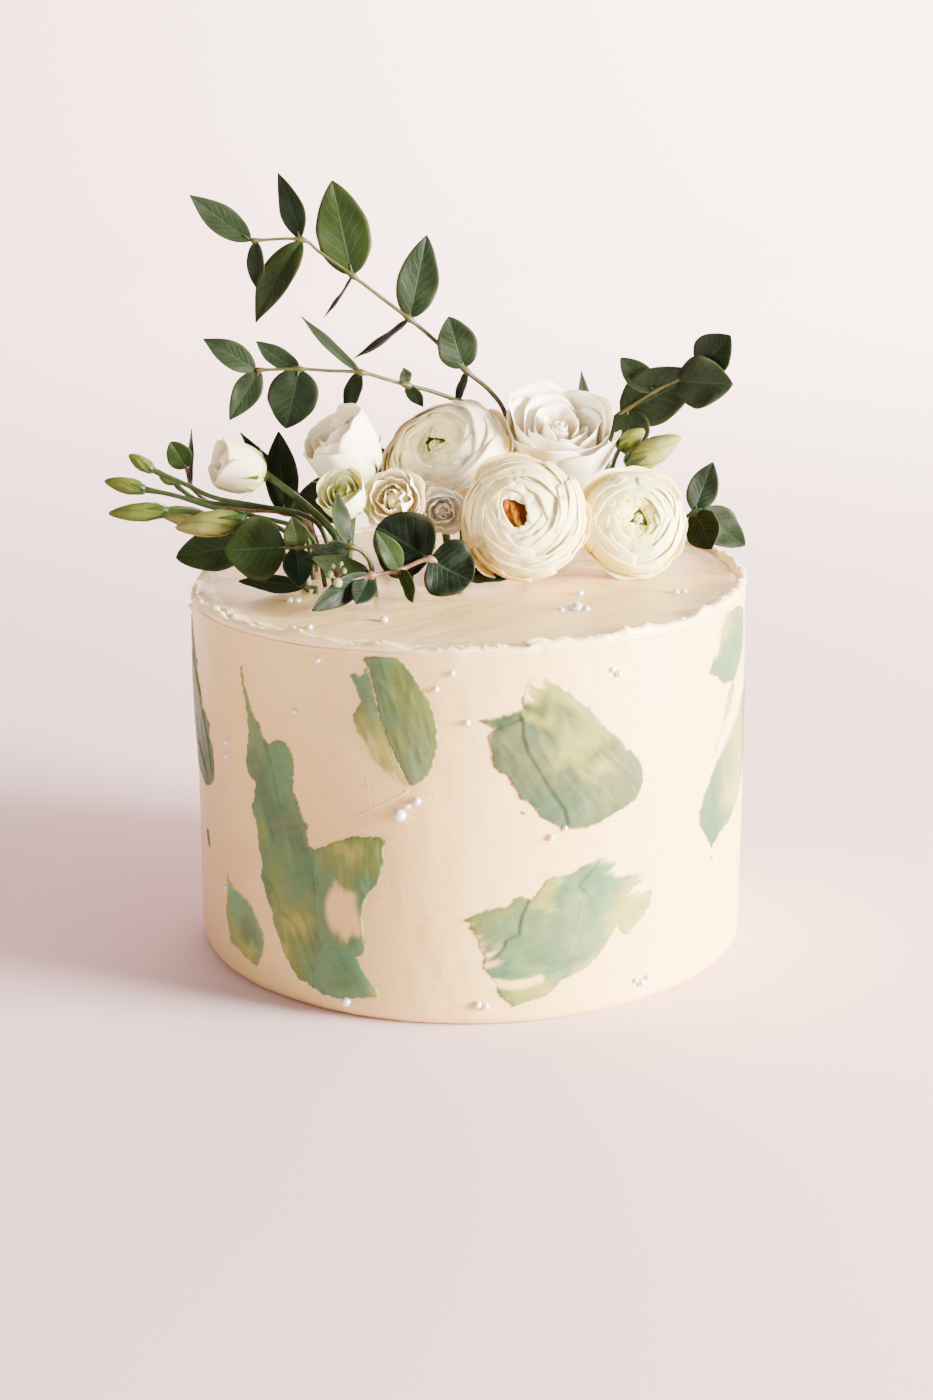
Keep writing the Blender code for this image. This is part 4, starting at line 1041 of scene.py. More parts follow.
def addStroke(pile, form, target, seed):
    # in mm; the paint is looked up in the stroke's first place, and the shape is laid in its new one
    run, cell, margin = form["run"], strokeGrain["cell"], strokeGrain["margin"]
    low, high = np.min(form["outline"], 0) - margin, np.max(form["outline"], 0) + margin
    x, y = np.meshgrid(np.arange(low[0], high[0], cell), np.arange(low[1], high[1], cell), indexing="ij")
    ux, uy = unit(np.subtract(run[1], run[0]))
    ahead, reach = x * ux + y * uy, -x * uy + y * ux
    ragged = 0.34 * wander(x * 0.55, y * 0.55 + seed) + 0.26 * wander(x * 1.3 + seed, y * 1.3)
    ragged = ragged + 0.10 * wander(x * 2.6, y * 2.6)
    inside = insideOf(form["outline"], x, y) + ragged + 0.30 * wander(ahead * 0.12 + seed, reach * 1.9)
    tint = strokeTint(form, x, y, ahead, reach, seed)
    cover = strokeCover(form, tint[..., 3], x, y, ahead, reach, inside, seed)
    relief = addLines(form, x, y, strokeRelief(ahead, reach, inside, seed), tint)
    relief = np.maximum(relief * (0.15 + 0.85 * cover), 0.00004)
    skirt = np.maximum(relief + inside * 0.0012, strokeGrain["skirt"])
    relief = np.where(inside < 0, skirt, relief)
    tint[..., :3] *= (1 - 0.16 * hill(inside - 0.05, 0.45))[..., None]
    tint[..., 3] = np.clip(cover, 0, 1)
    along, height = x, y
    if target:
        spots = movedTo(list(zip(x.ravel(), y.ravel())), run, *target)
        along, height = (np.array(axis).reshape(x.shape) for axis in zip(*spots))
    along, height = along * 0.001, np.clip(height * 0.001, 0.0015, cakeForm["sideTop"])
    grid = onSide(along, height, relief)
    grid[..., 2] += sideTilt(along, height)
    index = np.arange(x.size).reshape(x.shape) + pile["count"]
    keep = inside > -0.5
    keep = keep[:-1, :-1] | keep[1:, :-1] | keep[:-1, 1:] | keep[1:, 1:]
    quads = np.stack([index[:-1, :-1], index[1:, :-1], index[1:, 1:], index[:-1, 1:]], axis=-1)[keep]
    pile["quads"].append(quads)
    pile["points"].append(grid.reshape(-1, 3))
    pile["maps"].append(joined(ahead, reach).reshape(-1, 2) * 0.001)
    pile["tints"].append(tint.reshape(-1, 4))
    pile["count"] += x.size


def makeStrokes():
    pile = newPile()
    for k, form in enumerate(strokeForms.values()):
        addStroke(pile, form, None, 13.0 * k + 5)
    for k, (like, start, end) in enumerate(backStrokes.values()):
        addStroke(pile, strokeForms[like], (start, end), 17.0 * k + 90)
    makePiece("painted_strokes", pile, looks["paint"], "cake")


makeStrokes()
print("stage: strokes painted")


# Sugar pearls in mm, by the way round, height and radius on the side, and x, y and radius on the top

pearlForm = {
    "sunk": 0.25,  # how far a pearl's middle lies out of the icing, in shares of its radius
    "shrink": 0.97,
    "backCount": 9,
    "backAlong": (165, 475),
    "backHeight": (8, 126),
    "backRadius": (1.1, 1.8),
    "side": [
        (-53.7, 128.5, 1.2), (-64, 109, 1.2), (-102, 90, 1.2), (-102.5, 84.8, 1.2), (-11.3, 121.7, 1.1),
        (-5.9, 127.3, 1.1), (-1, 110.3, 1.1), (52.4, 123.4, 1.4), (50, 125, 1), (-24.2, 76.8, 2.3),
        (-21.4, 80.5, 1.3), (-18.2, 82.1, 1.5), (27.7, 68.2, 1.3), (32.7, 70.9, 1.1), (-107.6, 33.4, 1.1),
        (-45, 6.2, 1.8), (2.1, 8.8, 1.4), (4.8, 8, 1.3), (63.8, 8.7, 1.5), (66.5, 9.8, 1.3),
        (61.2, 10, 1.1), (103.1, 45.1, 1.2), (-147, 129, 1.3),
    ],
    "top": [
        (-64.6, -24.4, 1.3), (-61.8, -24.6, 1.2), (-55.3, -64, 1.2), (-29.8, -56, 1.5), (38, -46.6, 2.4),
        (34.9, -46.2, 1.5), (41.2, -47.8, 1.5), (32.5, -48, 1.2), (40, -23.5, 1.5), (74.6, -25.1, 1.5),
        (77.5, -24.5, 1.3),
    ],
}


def makePearls():
    pile = newPile()
    white = (1, 1, 1, 1)
    form = inMetres(pearlForm, "side", "top", "backAlong", "backHeight", "backRadius")
    sunk, shrink = form["sunk"], form["shrink"]
    spots = [(onSide(along, height, sunk * size), size * shrink) for along, height, size in form["side"]]
    spots += [((x, y, topZ(x) + sunk * size), size * shrink) for x, y, size in form["top"]]
    rng = np.random.default_rng(11)
    for _ in range(form["backCount"]):
        ranges = form["backAlong"], form["backHeight"], form["backRadius"]
        along, height, size = (rng.uniform(*pair) for pair in ranges)
        spots.append((onSide(along, height, sunk * size), size))
    for centre, size in spots:
        addBall(pile, centre, size, white, 13, 18)
    makePiece("sugar_pearls", pile, looks["pearl"], "cake")


makePearls()


# Torn crumbs of icing along the lip: degrees round from the front and size in mm

crumbForm = {
    "torn": [
        (-66, 3.2), (-60, 2.8), (-38, 3.4), (-34, 2.2), (-18, 3.6), (13, 5.8), (17, 2.4), (32, 5.4),
        (35, 3), (55, 4.6), (71, 3.4),
    ],
    "tornShare": 0.6,
    "tornLift": 0.6,
    "backCount": 9,
    "backSize": (1.3, 2),
    "smallCount": 60,
    "smallSize": (0.5, 1.3),
    "smallLift": (0.2, 0.75),
}


def addCrumb(pile, degrees, size, seed, lift):
    # a smooth lump of icing, drawn out along the rim and curled over at its top
    angle = math.radians(degrees)
    radius = cakeForm["radius"] - 0.4 * cakeForm["lipWidth"]
    out = np.array([math.sin(angle), -math.cos(angle), 0])
    side = np.array([math.cos(angle), math.sin(angle), 0])
    x, y, _ = radius * out
    centre = np.array([x, y, topZ(x) + lift * cakeForm["lipHeight"]])
    _, _, (a, b, c) = ballShape(15, 22)
    lump = 0.85 + 0.30 * wander(seed + a * 1.1 + c, seed + b * 1.1 - c) + 0.10 * wander(seed + a * 3, b * 3)
    lump = np.clip(lump, 0.3, 1.2)
    bend = 0.5 * wander(seed * 3.1, 7.0) * np.clip(c, -0.2, 1) ** 2
    shape = side * (a * lump * 1.25 + 0.4 * bend)[..., None] + out * (b * 0.42 * lump + bend)[..., None]
    shape = shape + np.array([0, 0, 1.0]) * (c * lump * 0.62)[..., None]
    size = 0.001 * size
    # the crumbs carry the rim's painted highlight cream
    addClosed(pile, centre + shape * size, joined(a * size, c * size), icingColours["litLipCream"] + (1.0,))


def makeCrumbs():
    pile, form = newPile(), crumbForm
    rng = np.random.default_rng(23)
    for k, (degrees, size) in enumerate(form["torn"]):
        addCrumb(pile, degrees, size * form["tornShare"], 3.7 * k, form["tornLift"])
    for k in range(form["backCount"]):
        degrees = 95 + 170 * (k + rng.uniform(0.2, 0.8)) / form["backCount"]
        addCrumb(pile, degrees, rng.uniform(*form["backSize"]), 50 + 3.1 * k, form["tornLift"])
    for k in range(form["smallCount"]):
        degrees, size = rng.uniform(0, 360), rng.uniform(*form["smallSize"])
        addCrumb(pile, degrees, size, 90 + 1.7 * k, rng.uniform(*form["smallLift"]))
    makePiece("icing_crumbs", pile, looks["icing"], "cake")


makeCrumbs()
print("stage: pearls and crumbs placed")


# Flowers. A ring is a turn of petals: how many, the rim's radius in shares of the head's radius, each
# petal's half width in degrees, how ruffled its rim is, and its kind. A folded petal wraps over the
# ones inside it, an open one lies back from the middle, a cup petal stands up round it. A dome is the
# head's height, the depth of its middle and that middle's width, in the same shares, and a step is
# how far a folded petal sinks under the next and rises at its rim. An eye has a kind, a size and its
# shift from the middle. Angles count from picture right towards picture top: turned is the way of the
# slit in an oval heart, tallTowards the side on which a cup stands highest. Roll is how far a cup's
# rims turn outwards, and fold how wavy its petals are. Centre, radius and foot are in mm.

flowerForms = {
    "ranunculus_centre": {
        "centre": (-9, 31, 176.5), "faces": (-0.35, -0.6, 0.72), "radius": 24, "foot": (-2, 44),
        "look": "white", "eye": ("green", 0.09, (-0.15, 0.2)), "dome": (0.5, 0.34, 0.36),
        "inner": (0.9, 0.82, 0.4), "outer": (0.94, 0.81, 0.57), "base": (0.84, 0.68, 0.24),
        "step": (0.022, 0.058),
        "rings": [
            (5, 1.04, 44, 0.09, "open"), (5, 0.99, 48, 0.042, "fold"), (5, 0.92, 48, 0.046, "fold"),
            (5, 0.84, 48, 0.05, "fold"), (5, 0.75, 48, 0.05, "fold"), (4, 0.65, 56, 0.05, "fold"),
            (4, 0.55, 56, 0.048, "fold"), (4, 0.46, 56, 0.045, "fold"), (4, 0.37, 56, 0.04, "fold"),
            (3, 0.29, 66, 0.035, "fold"), (3, 0.22, 66, 0.03, "fold"), (3, 0.16, 64, 0.02, "fold"),
            (3, 0.11, 62, 0.015, "fold"),
        ],
    },
    "rose_cream": {
        "centre": (20, -6, 159.8), "faces": (-0.05, -0.94, 0.34), "radius": 22.2, "foot": (20, 12),
        "look": "cream", "eye": ("orange", 0.16, (-0.16, 0.02)), "dome": (0.6, 0.06, 0.22), "turned": 121,
        "inner": (0.94, 0.8, 0.5), "outer": (0.94, 0.76, 0.4), "base": (0.9, 0.62, 0.18),
        "step": (0.022, 0.058),
        "rings": [
            (3, 1.04, 40, 0.07, "open"), (5, 0.99, 48, 0.03, "fold"), (5, 0.94, 48, 0.032, "fold"),
            (5, 0.88, 48, 0.034, "fold"), (5, 0.82, 48, 0.034, "fold"), (4, 0.75, 56, 0.04, "fold"),
            (4, 0.62, 58, 0.05, "fold"), (4, 0.51, 58, 0.05, "fold"), (4, 0.41, 56, 0.045, "fold"),
            (3, 0.32, 66, 0.04, "fold"), (3, 0.24, 66, 0.035, "fold"), (3, 0.17, 64, 0.025, "fold"),
        ],
    },
    "ranunculus_right": {
        "centre": (60.5, 3, 156), "faces": (0.08, -0.93, 0.36), "radius": 18.8, "foot": (60, 20),
        "look": "cream", "eye": ("green", 0.1, (0.1, 0.04)), "dome": (0.5, 0.22, 0.3),
        "inner": (0.89, 0.85, 0.22), "outer": (0.95, 0.84, 0.48), "base": (0.88, 0.76, 0.18),
        "step": (0.012, 0.036),
        "rings": [
            (5, 1.08, 46, 0.09, "open"), (4, 0.97, 60, 0.06, "fold"), (4, 0.86, 60, 0.06, "fold"),
            (4, 0.74, 58, 0.06, "fold"), (4, 0.62, 58, 0.05, "fold"), (4, 0.51, 58, 0.045, "fold"),
            (4, 0.41, 56, 0.04, "fold"), (4, 0.32, 54, 0.03, "fold"), (3, 0.24, 66, 0.025, "fold"),
            (3, 0.17, 64, 0.02, "fold"), (3, 0.12, 62, 0.015, "fold"),
        ],
    },
    "carnation_cream": {
        "centre": (-27.5, -6, 167), "faces": (-0.2, -0.9, 0.38), "radius": 11, "foot": (-22, 6),
        "look": "cream", "eye": None, "dome": (0.62, 0.05, 0.3),
        "inner": (0.93, 0.82, 0.56), "outer": (0.94, 0.82, 0.6), "base": (0.9, 0.72, 0.4),
        "rings": [
            (5, 1.08, 46, 0.15, "open"), (5, 0.9, 46, 0.18, "ruffle"), (4, 0.64, 50, 0.21, "ruffle"),
            (4, 0.4, 48, 0.2, "ruffle"), (3, 0.18, 56, 0.12, "ruffle"),
        ],
    },
    "carnation_white": {
        "centre": (-9.5, 1, 161), "faces": (0.05, -0.95, 0.1), "radius": 8.2, "foot": (-8, 12),
        "look": "white", "eye": None, "dome": (0.6, 0.05, 0.3),
        "inner": (0.93, 0.88, 0.8), "outer": (0.94, 0.89, 0.82), "base": (0.86, 0.79, 0.66),
        "rings": [
            (5, 1.1, 44, 0.17, "open"), (4, 0.82, 50, 0.21, "ruffle"), (3, 0.5, 60, 0.22, "ruffle"),
            (3, 0.2, 58, 0.14, "ruffle"),
        ],
    },
    "rose_white": {
        "fold": 0.05,
        "centre": (35, 38, 179), "faces": (0.02, -0.42, 0.9), "radius": 18, "foot": (36, 47),
        "look": "white", "eye": None, "dome": (0.6, 0.1, 0.3), "tallTowards": 135, "roll": 0.2,
        "inner": (0.95, 0.85, 0.68), "outer": (0.96, 0.86, 0.71), "base": (0.92, 0.77, 0.5),
        "rings": [
            (4, 1.02, 58, 0.09, "cup"), (3, 0.86, 68, 0.08, "cup"), (3, 0.62, 68, 0.07, "cup"),
            (2, 0.36, 88, 0.05, "cup"), (2, 0.17, 80, 0.02, "cup"),
        ],
    },
    "lisianthus_left": {
        "fold": 0.05,
        "centre": (-86.5, 17, 175), "faces": (-0.93, -0.15, 0.35), "radius": 11.2, "foot": (-50, 12),
        "look": "white", "eye": None, "dome": (0.6, 0.1, 0.3), "tallTowards": 90, "roll": 0.1,
        "inner": (0.93, 0.82, 0.52), "outer": (0.94, 0.81, 0.56), "base": (0.78, 0.72, 0.22),
        "rings": [
            (3, 0.74, 72, 0.05, "cup"), (3, 0.6, 70, 0.05, "cup"), (2, 0.42, 88, 0.04, "cup"),
            (2, 0.2, 84, 0.03, "cup"),
        ],
    },
    "lisianthus_upper": {
        "fold": 0.05,
        "centre": (-46.5, 22, 180), "faces": (-0.45, -0.3, 0.84), "radius": 15, "foot": (-32, 30),
        "look": "white", "eye": None, "dome": (0.6, 0.1, 0.3), "tallTowards": 10, "roll": 0.12,
        "inner": (0.93, 0.81, 0.56), "outer": (0.94, 0.82, 0.6), "base": (0.84, 0.74, 0.3),
        "rings": [
            (3, 0.84, 72, 0.05, "cup"), (3, 0.7, 70, 0.05, "cup"), (2, 0.5, 88, 0.05, "cup"),
            (2, 0.25, 84, 0.03, "cup"),
        ],
    },
    "lisianthus_small": {
        "centre": (-45, -12.5, 169), "faces": (-0.25, -0.55, 0.8), "radius": 8, "foot": (-44, -6),
        "look": "bud", "eye": None, "dome": (0.6, 0.1, 0.3), "tallTowards": 60, "roll": 0.12,
        "inner": (0.5, 0.56, 0.14), "outer": (0.8, 0.78, 0.42), "base": (0.28, 0.36, 0.06),
        "rings": [
            (4, 1, 56, 0.09, "cup"), (3, 0.78, 66, 0.08, "cup"), (3, 0.5, 64, 0.06, "cup"),
            (2, 0.25, 80, 0.04, "cup"),
        ],
    },
}
petalGrain = {"rows": 20, "columns": 19, "thickness": 0.00024, "stem": 0.0015, "wrap": 0.32}
petalKinds = {  # how far the corners are cut back, the waves along a rim, its roll, and how far it slants
    "fold": {"corner": 0.17, "frill": 1.5, "roll": 0.0, "slant": 1.0},
    "open": {"corner": 0.19, "frill": 1.6, "roll": 0.05, "slant": 1.0},
    "ruffle": {"corner": 0.19, "frill": 2.1, "roll": 0.0, "slant": 1.0},
    "cup": {"corner": 0.19, "frill": 1.7, "roll": 0.0, "slant": 1.4},
}
eyeForms = {  # how many beads, and the tints of what lies under them and of the first and last bead
    "green": {
        "beads": 22, "under": (0.62, 0.66, 0.28, 1),
        "first": (0.72, 0.76, 0.38, 1), "last": (0.72, 0.76, 0.38, 1),
    },
    "orange": {
        "beads": 60, "under": (0.50, 0.17, 0.015, 1),
        "first": (0.88, 0.41, 0.035, 1), "last": (0.62, 0.17, 0.015, 1),
    },
}
coilForm = {"turns": 2.3, "wide": 0.25, "top": 0.58, "base": -0.70, "rows": 14, "columns": 60}
cupFlowers = ("rose_white", "lisianthus_left", "lisianthus_upper", "lisianthus_small")
greenTints = {"stem": (0.030, 0.056, 0.009, 1), "sepal": (0.045, 0.080, 0.012, 1)}


def flowerAxes(faces):
    # picture right, picture up and the way the flower faces
    out = unit(faces)
    right = unit(np.cross((0, 1.0, 0), out))
    if abs(out[0]) < 0.9:
        right = unit(np.array([1.0, 0, 0]) - out * out[0])
    return right, np.cross(out, right), out


def domeHeight(form, radius):
    # the outline of the whole head's face: a dome that sinks towards its eye
    tall, sunk, wide = form["dome"]
    return -0.10 + tall * np.sqrt(np.clip(1.02 - radius**2, 0, 1)) - sunk * hill(radius, wide)


def foldedPath(form, rim, reach):
    # up the outside of the head and over its face to the rim
    wide = min(rim + petalGrain["wrap"], 1.0)
    lift, sink = form["step"]
    start = domeHeight(form, wide) - sink
    low = np.clip(1 - reach / 0.5, 0, 1) * math.pi / 2
    high = np.clip(reach / 0.5 - 1, 0, 1)
    radius = np.where(reach < 0.5, 0.12 + (wide - 0.12) * np.cos(low), wide + (rim - wide) * high)
    over = domeHeight(form, radius) - sink * (1 - high) + lift * high
    z = np.where(reach < 0.5, start - (start + 0.58) * np.sin(low), over)
    return radius, z


def bezierPath(knots, reach):
    b = [(1 - reach) ** 3, 3 * reach * (1 - reach) ** 2, 3 * reach**2 * (1 - reach), reach**3]
    return sum(w * knot[0] for w, knot in zip(b, knots)), sum(w * knot[1] for w, knot in zip(b, knots))


def petalPath(form, kind, rim, height, reach):
    # radius and height from the petal's base to its rim, in shares of the head's radius
    if kind == "fold":
        return foldedPath(form, rim, reach)
    face = domeHeight(form, rim)
    knots = {
        "open": [(0.12, -0.56), (0.60, -0.52), (0.98, -0.34), (rim, height - 0.10)],
        "ruffle": [(0.10, -0.55), (0.4 + 0.5 * rim, -0.50), (0.15 + 0.9 * rim, 0.05), (rim, face)],
        "cup": [(0.12, -1.0), (0.66 + 0.25 * rim, -0.98), (0.46 + 0.66 * rim, -0.10), (rim, height)],
    }
    return bezierPath(knots[kind], reach)


def petalPoints(form, ring, angle, rim, height, seed):
    # radius, turn and height of a petal's points; t runs from base to rim and a from side to side
    _, _, span, ruffle, kind = ring
    ways = petalKinds[kind]
    t = np.linspace(0, 1, petalGrain["rows"])[:, None]
    a = np.linspace(-1, 1, petalGrain["columns"])[None, :]
    reach = t * (1 - ways["corner"] * np.abs(a) ** 2.6 - 0.04 * wander(a * 1.6 + seed, seed))
    radius, z = petalPath(form, kind, rim, height, reach)
    fold = form.get("fold", 0.012)
    crease = fold * 0.55 if kind == "cup" else 0.008
    radius = radius + 0.010 * wander(a * 1.3 + seed, reach * 2)
    radius = radius + crease * wander(a * 3.6 + seed, reach * 0.8 + 70) * reach
    z = z + fold * wander(a * 4.2 + seed, reach * 0.9 + 60) * (1 - (1 - reach) ** 2)
    edge, frill = reach**3, ways["frill"]
    wave = 0.75 * wander(a * frill + seed, reach * 0.8)
    wave = wave + 0.35 * wander(a * frill * 2.2 + seed, reach * 1.2 + 5)
    radius = radius + ruffle * edge * wave
    z = z + 0.8 * ruffle * edge * wander(a * frill + seed + 31, reach + 9)
    roll = form.get("roll", ways["roll"])
    radius = radius + roll * reach**8
    z = z - 0.45 * roll * reach**12
    width = 0.46 + 0.54 * ease(reach / 0.5)
    slant = (0.035 + 0.05 * wander(seed * 1.7, 3.0)) * a * ways["slant"]
    return radius * (1 + slant), angle + math.radians(span) * a * width, z, t, a


def addPetal(pile, form, axes, ring, k, angle, rim, height, seed):
    radius, turn, z, t, a = petalPoints(form, ring, angle, rim, height, seed)
    x, y = radius * np.cos(turn), radius * np.sin(turn)
    near = np.clip(1 - radius, 0, 1) ** 2
    if "turned" in form:
        # drawn out along the slit and squeezed across it
        slit = math.radians(form["turned"])
        ex, ey = math.cos(slit), math.sin(slit)
        along, off = x * ex + y * ey, -x * ey + y * ex
        along, off = along * (1 + 0.85 * near**2), off * (1 - 0.45 * near**2)
        x, y = along * ex - off * ey, along * ey + off * ex
    if form["eye"]:
        shiftX, shiftY = form["eye"][2]
        x, y = x + shiftX * near * 1.2, y + shiftY * near * 1.2
    right, up, out = axes
    z = np.broadcast_to(z, x.shape)[..., None]
    grid = np.asarray(form["centre"]) + form["radius"] * (right * x[..., None] + up * y[..., None] + out * z)
    inner, outer, base = (np.array(form[key]) for key in ("inner", "outer", "base"))
    body = inner + (outer - inner) * ease((rim - 0.1) / 0.6)
    low = ease((t - 0.45) / 0.42 if ring[4] == "fold" else (t - 0.15) / 0.6)
    tint = base * (1 - low)[..., None] + body * low[..., None]
    tint = tint * (1 + 0.04 * wander(a * 1.3 + seed, t * 2))[..., None]
    maps = joined(a * 0.5 + 0.5 + 3 * k + 1.7 * rim, t)
    addShell(pile, grid, petalGrain["thickness"], maps, opaque(tint, grid))


def addEye(pile, form, axes):
    kind, size, shift = form["eye"] or ("none", 0.1, (0.0, 0.0))
    right, up, out = axes
    radius = form["radius"]
    centre = np.asarray(form["centre"]) + radius * (right * shift[0] + up * shift[1]) * 0.86
    floor = float(domeHeight(form, 0.1))
    if kind != "orange":
        # a pale heart under the innermost petals
        deep = 0.24 if kind == "green" else 0.52
        addBall(pile, centre + out * radius * (floor - deep), radius * 0.24, form["base"] + (1,), rough=0.1)
    if kind == "none":
        return
    eye = eyeForms[kind]
    if kind == "green":
        # a ball with beads wound over it in a spiral
        heart, bead = centre + out * radius * (floor - 0.04), radius * size
        addBall(pile, heart, bead, eye["under"], rough=0.25)
        for k in range(eye["beads"]):
            turn = k * 2.4
            step = (right * math.cos(turn) + up * math.sin(turn)) * bead * (0.30 + 0.034 * k)
            addBall(pile, heart + step + out * bead * (0.90 - 0.03 * k), bead * 0.24, eye["first"], 6, 8)
        return
    # a slit full of beads, bright at one end and darker at the other
    slit = math.radians(form["turned"])
    along = right * math.cos(slit) + up * math.sin(slit)
    off = np.cross(out, along)
    first, last = np.array(eye["first"]), np.array(eye["last"])
    for k in range(eye["beads"]):
        place = -1 + 2 * ((k * 0.618) % 1.0)
        side = -1 + 2 * ((k * 0.377) % 1.0)
        flat = along * place * 0.27 + off * side * 0.085 * (1 - place * place)
        bead = centre + radius * (flat + out * (floor - 0.13 + 0.05 * math.sin(k)))
        addBall(pile, bead, radius * 0.042, last + (first - last) * (0.5 - 0.5 * place), 6, 8)
    addBall(pile, centre + out * radius * (floor - 0.42), radius * 0.26, eye["under"], 7, 12, rough=0.2)


def addCoil(pile, form, axes):
    # the rolled petal in the middle of a cup flower, and the pale floor that it stands on
    right, up, out = axes
    centre, radius, low = np.asarray(form["centre"]), form["radius"], coilForm["base"]
    t = np.linspace(0, 1, coilForm["rows"])[:, None]
    s = np.linspace(0, 1, coilForm["columns"])[None, :]
    turn = 2 * math.pi * coilForm["turns"] * s + radius * 900
    wide = (0.035 + coilForm["wide"] * s) * (0.70 + 0.30 * ease(t / 0.5)) * (1 - 0.34 * t**2)
    wide = wide * (1 + 0.06 * np.sin(2.0 * turn + 3 * t))
    z = low + (coilForm["top"] - low - 0.16 * s + 0.03 * wander(s * 14, t * 0.5 + radius * 700)) * t
    x, y, z = np.broadcast_arrays(wide * np.cos(turn), wide * np.sin(turn), z)
    grid = centre + radius * (right * x[..., None] + up * y[..., None] + out * z[..., None])
    share = ease(t / 0.7)[..., None]
    tint = np.array(form["base"]) * (1 - share) + np.array(form["inner"]) * share
    addShell(pile, grid, petalGrain["thickness"], joined(s * 3 + 40, t), opaque(tint, grid))
    addBall(pile, centre - out * 0.62 * radius, radius * 0.44, form["base"] + (1,), 9, 16, rough=0.1)


def addSepals(pile, start, axes, first, reach, rise, half, thickness, tint):
    # five narrow green leaves round a head; how far out, how high and how wide, row by row
    right, up, out = axes
    side = np.linspace(-1, 1, 5)[None, :, None]
    maps = joined(side[..., 0] * 0.5 + 0.5, np.linspace(0, 1, len(reach))[:, None])
    reach, rise, half = (np.asarray(row)[:, None, None] for row in (reach, rise, half))
    for k in range(5):
        turn = 2 * math.pi * k / 5 + first
        spoke = right * math.cos(turn) + up * math.sin(turn)
        grid = start + spoke * reach + np.cross(out, spoke) * side * half + out * rise
        addShell(pile, grid, thickness, maps, np.array(tint))


def addRings(pile, form, axes, cup, rng):
    tallest = math.radians(form.get("tallTowards", 0))
    for ring in form["rings"]:
        count, rim, kind = ring[0], ring[1], ring[4]
        first = rng.uniform(0, 2 * math.pi)
        for k in range(count):
            angle = first + 2 * math.pi * k / count + rng.uniform(-0.12, 0.12)
            ownRim = rim * (1 + rng.uniform(-0.07, 0.04))
            height = domeHeight(form, min(rim, 0.98))
            if kind == "cup":
                height = 0.76 + 0.20 * math.cos(angle - tallest) * rim - 0.10 * (1 - rim)
            height = height + rng.uniform(-0.05, 0.05)
            addPetal(pile, form, axes, ring, k, angle, ownRim, height, rng.uniform(0, 90))
    (addCoil if cup else addEye)(pile, form, axes)


def makeFlower(name, form, number):
    petals, green = newPile(), newPile()
    axes, cup = flowerAxes(form["faces"]), name in cupFlowers
    addRings(petals, form, axes, cup, np.random.default_rng(100 + number))
    out, radius = axes[2], form["radius"]
    back = np.asarray(form["centre"]) + out * (-1.02 if cup else -0.62) * radius
    # the green cup under the head, its pointed sepals, and the stem
    levels = np.linspace(0, 1, 9)
    swell = radius * (0.10 + 0.26 * np.sin(levels * 1.5))
    addTube(green, back + out * radius * (levels * 0.34 - 0.12)[:, None], swell, 14, greenTints["stem"])
    t = np.linspace(0, 1, 11)
    reach, rise = 0.20 + 0.62 * t, 0.02 + 0.14 * t - 0.25 * t**2
    if cup:
        reach, rise = 0.20 + 0.66 * t**0.55 + 0.30 * t**2, 0.66 * t
    half = 0.075 * np.sin(math.pi * np.clip(t, 0.02, 0.98) ** 0.6) + 0.006
    sizes = radius * reach, radius * rise, radius * half
    addSepals(green, back, axes, number, *sizes, 0.00022, greenTints["sepal"])
    foot = np.array(onTop(*form["foot"])) * 0.001
    under = back - out * 0.25 * radius
    halfway = np.array([foot[0], foot[1], foot[2] + 0.45 * max(under[2] - foot[2], 0.0)])
    route = smoothRow([back + out * 0.1 * radius, under, halfway, foot], 22)
    addTube(green, route, np.full(22, petalGrain["stem"]), 10, greenTints["stem"])
    makePiece(name + "_petals", petals, looks[form["look"]], name)
    makePiece(name + "_stem", green, looks["stem"], name)


for number, (name, form) in enumerate(flowerForms.items()):
    makeFlower(name, inMetres(form, "centre", "radius"), number)
print("stage: flowers open")


# Buds: tip, base, radius and the stem's way down to the icing, all in mm

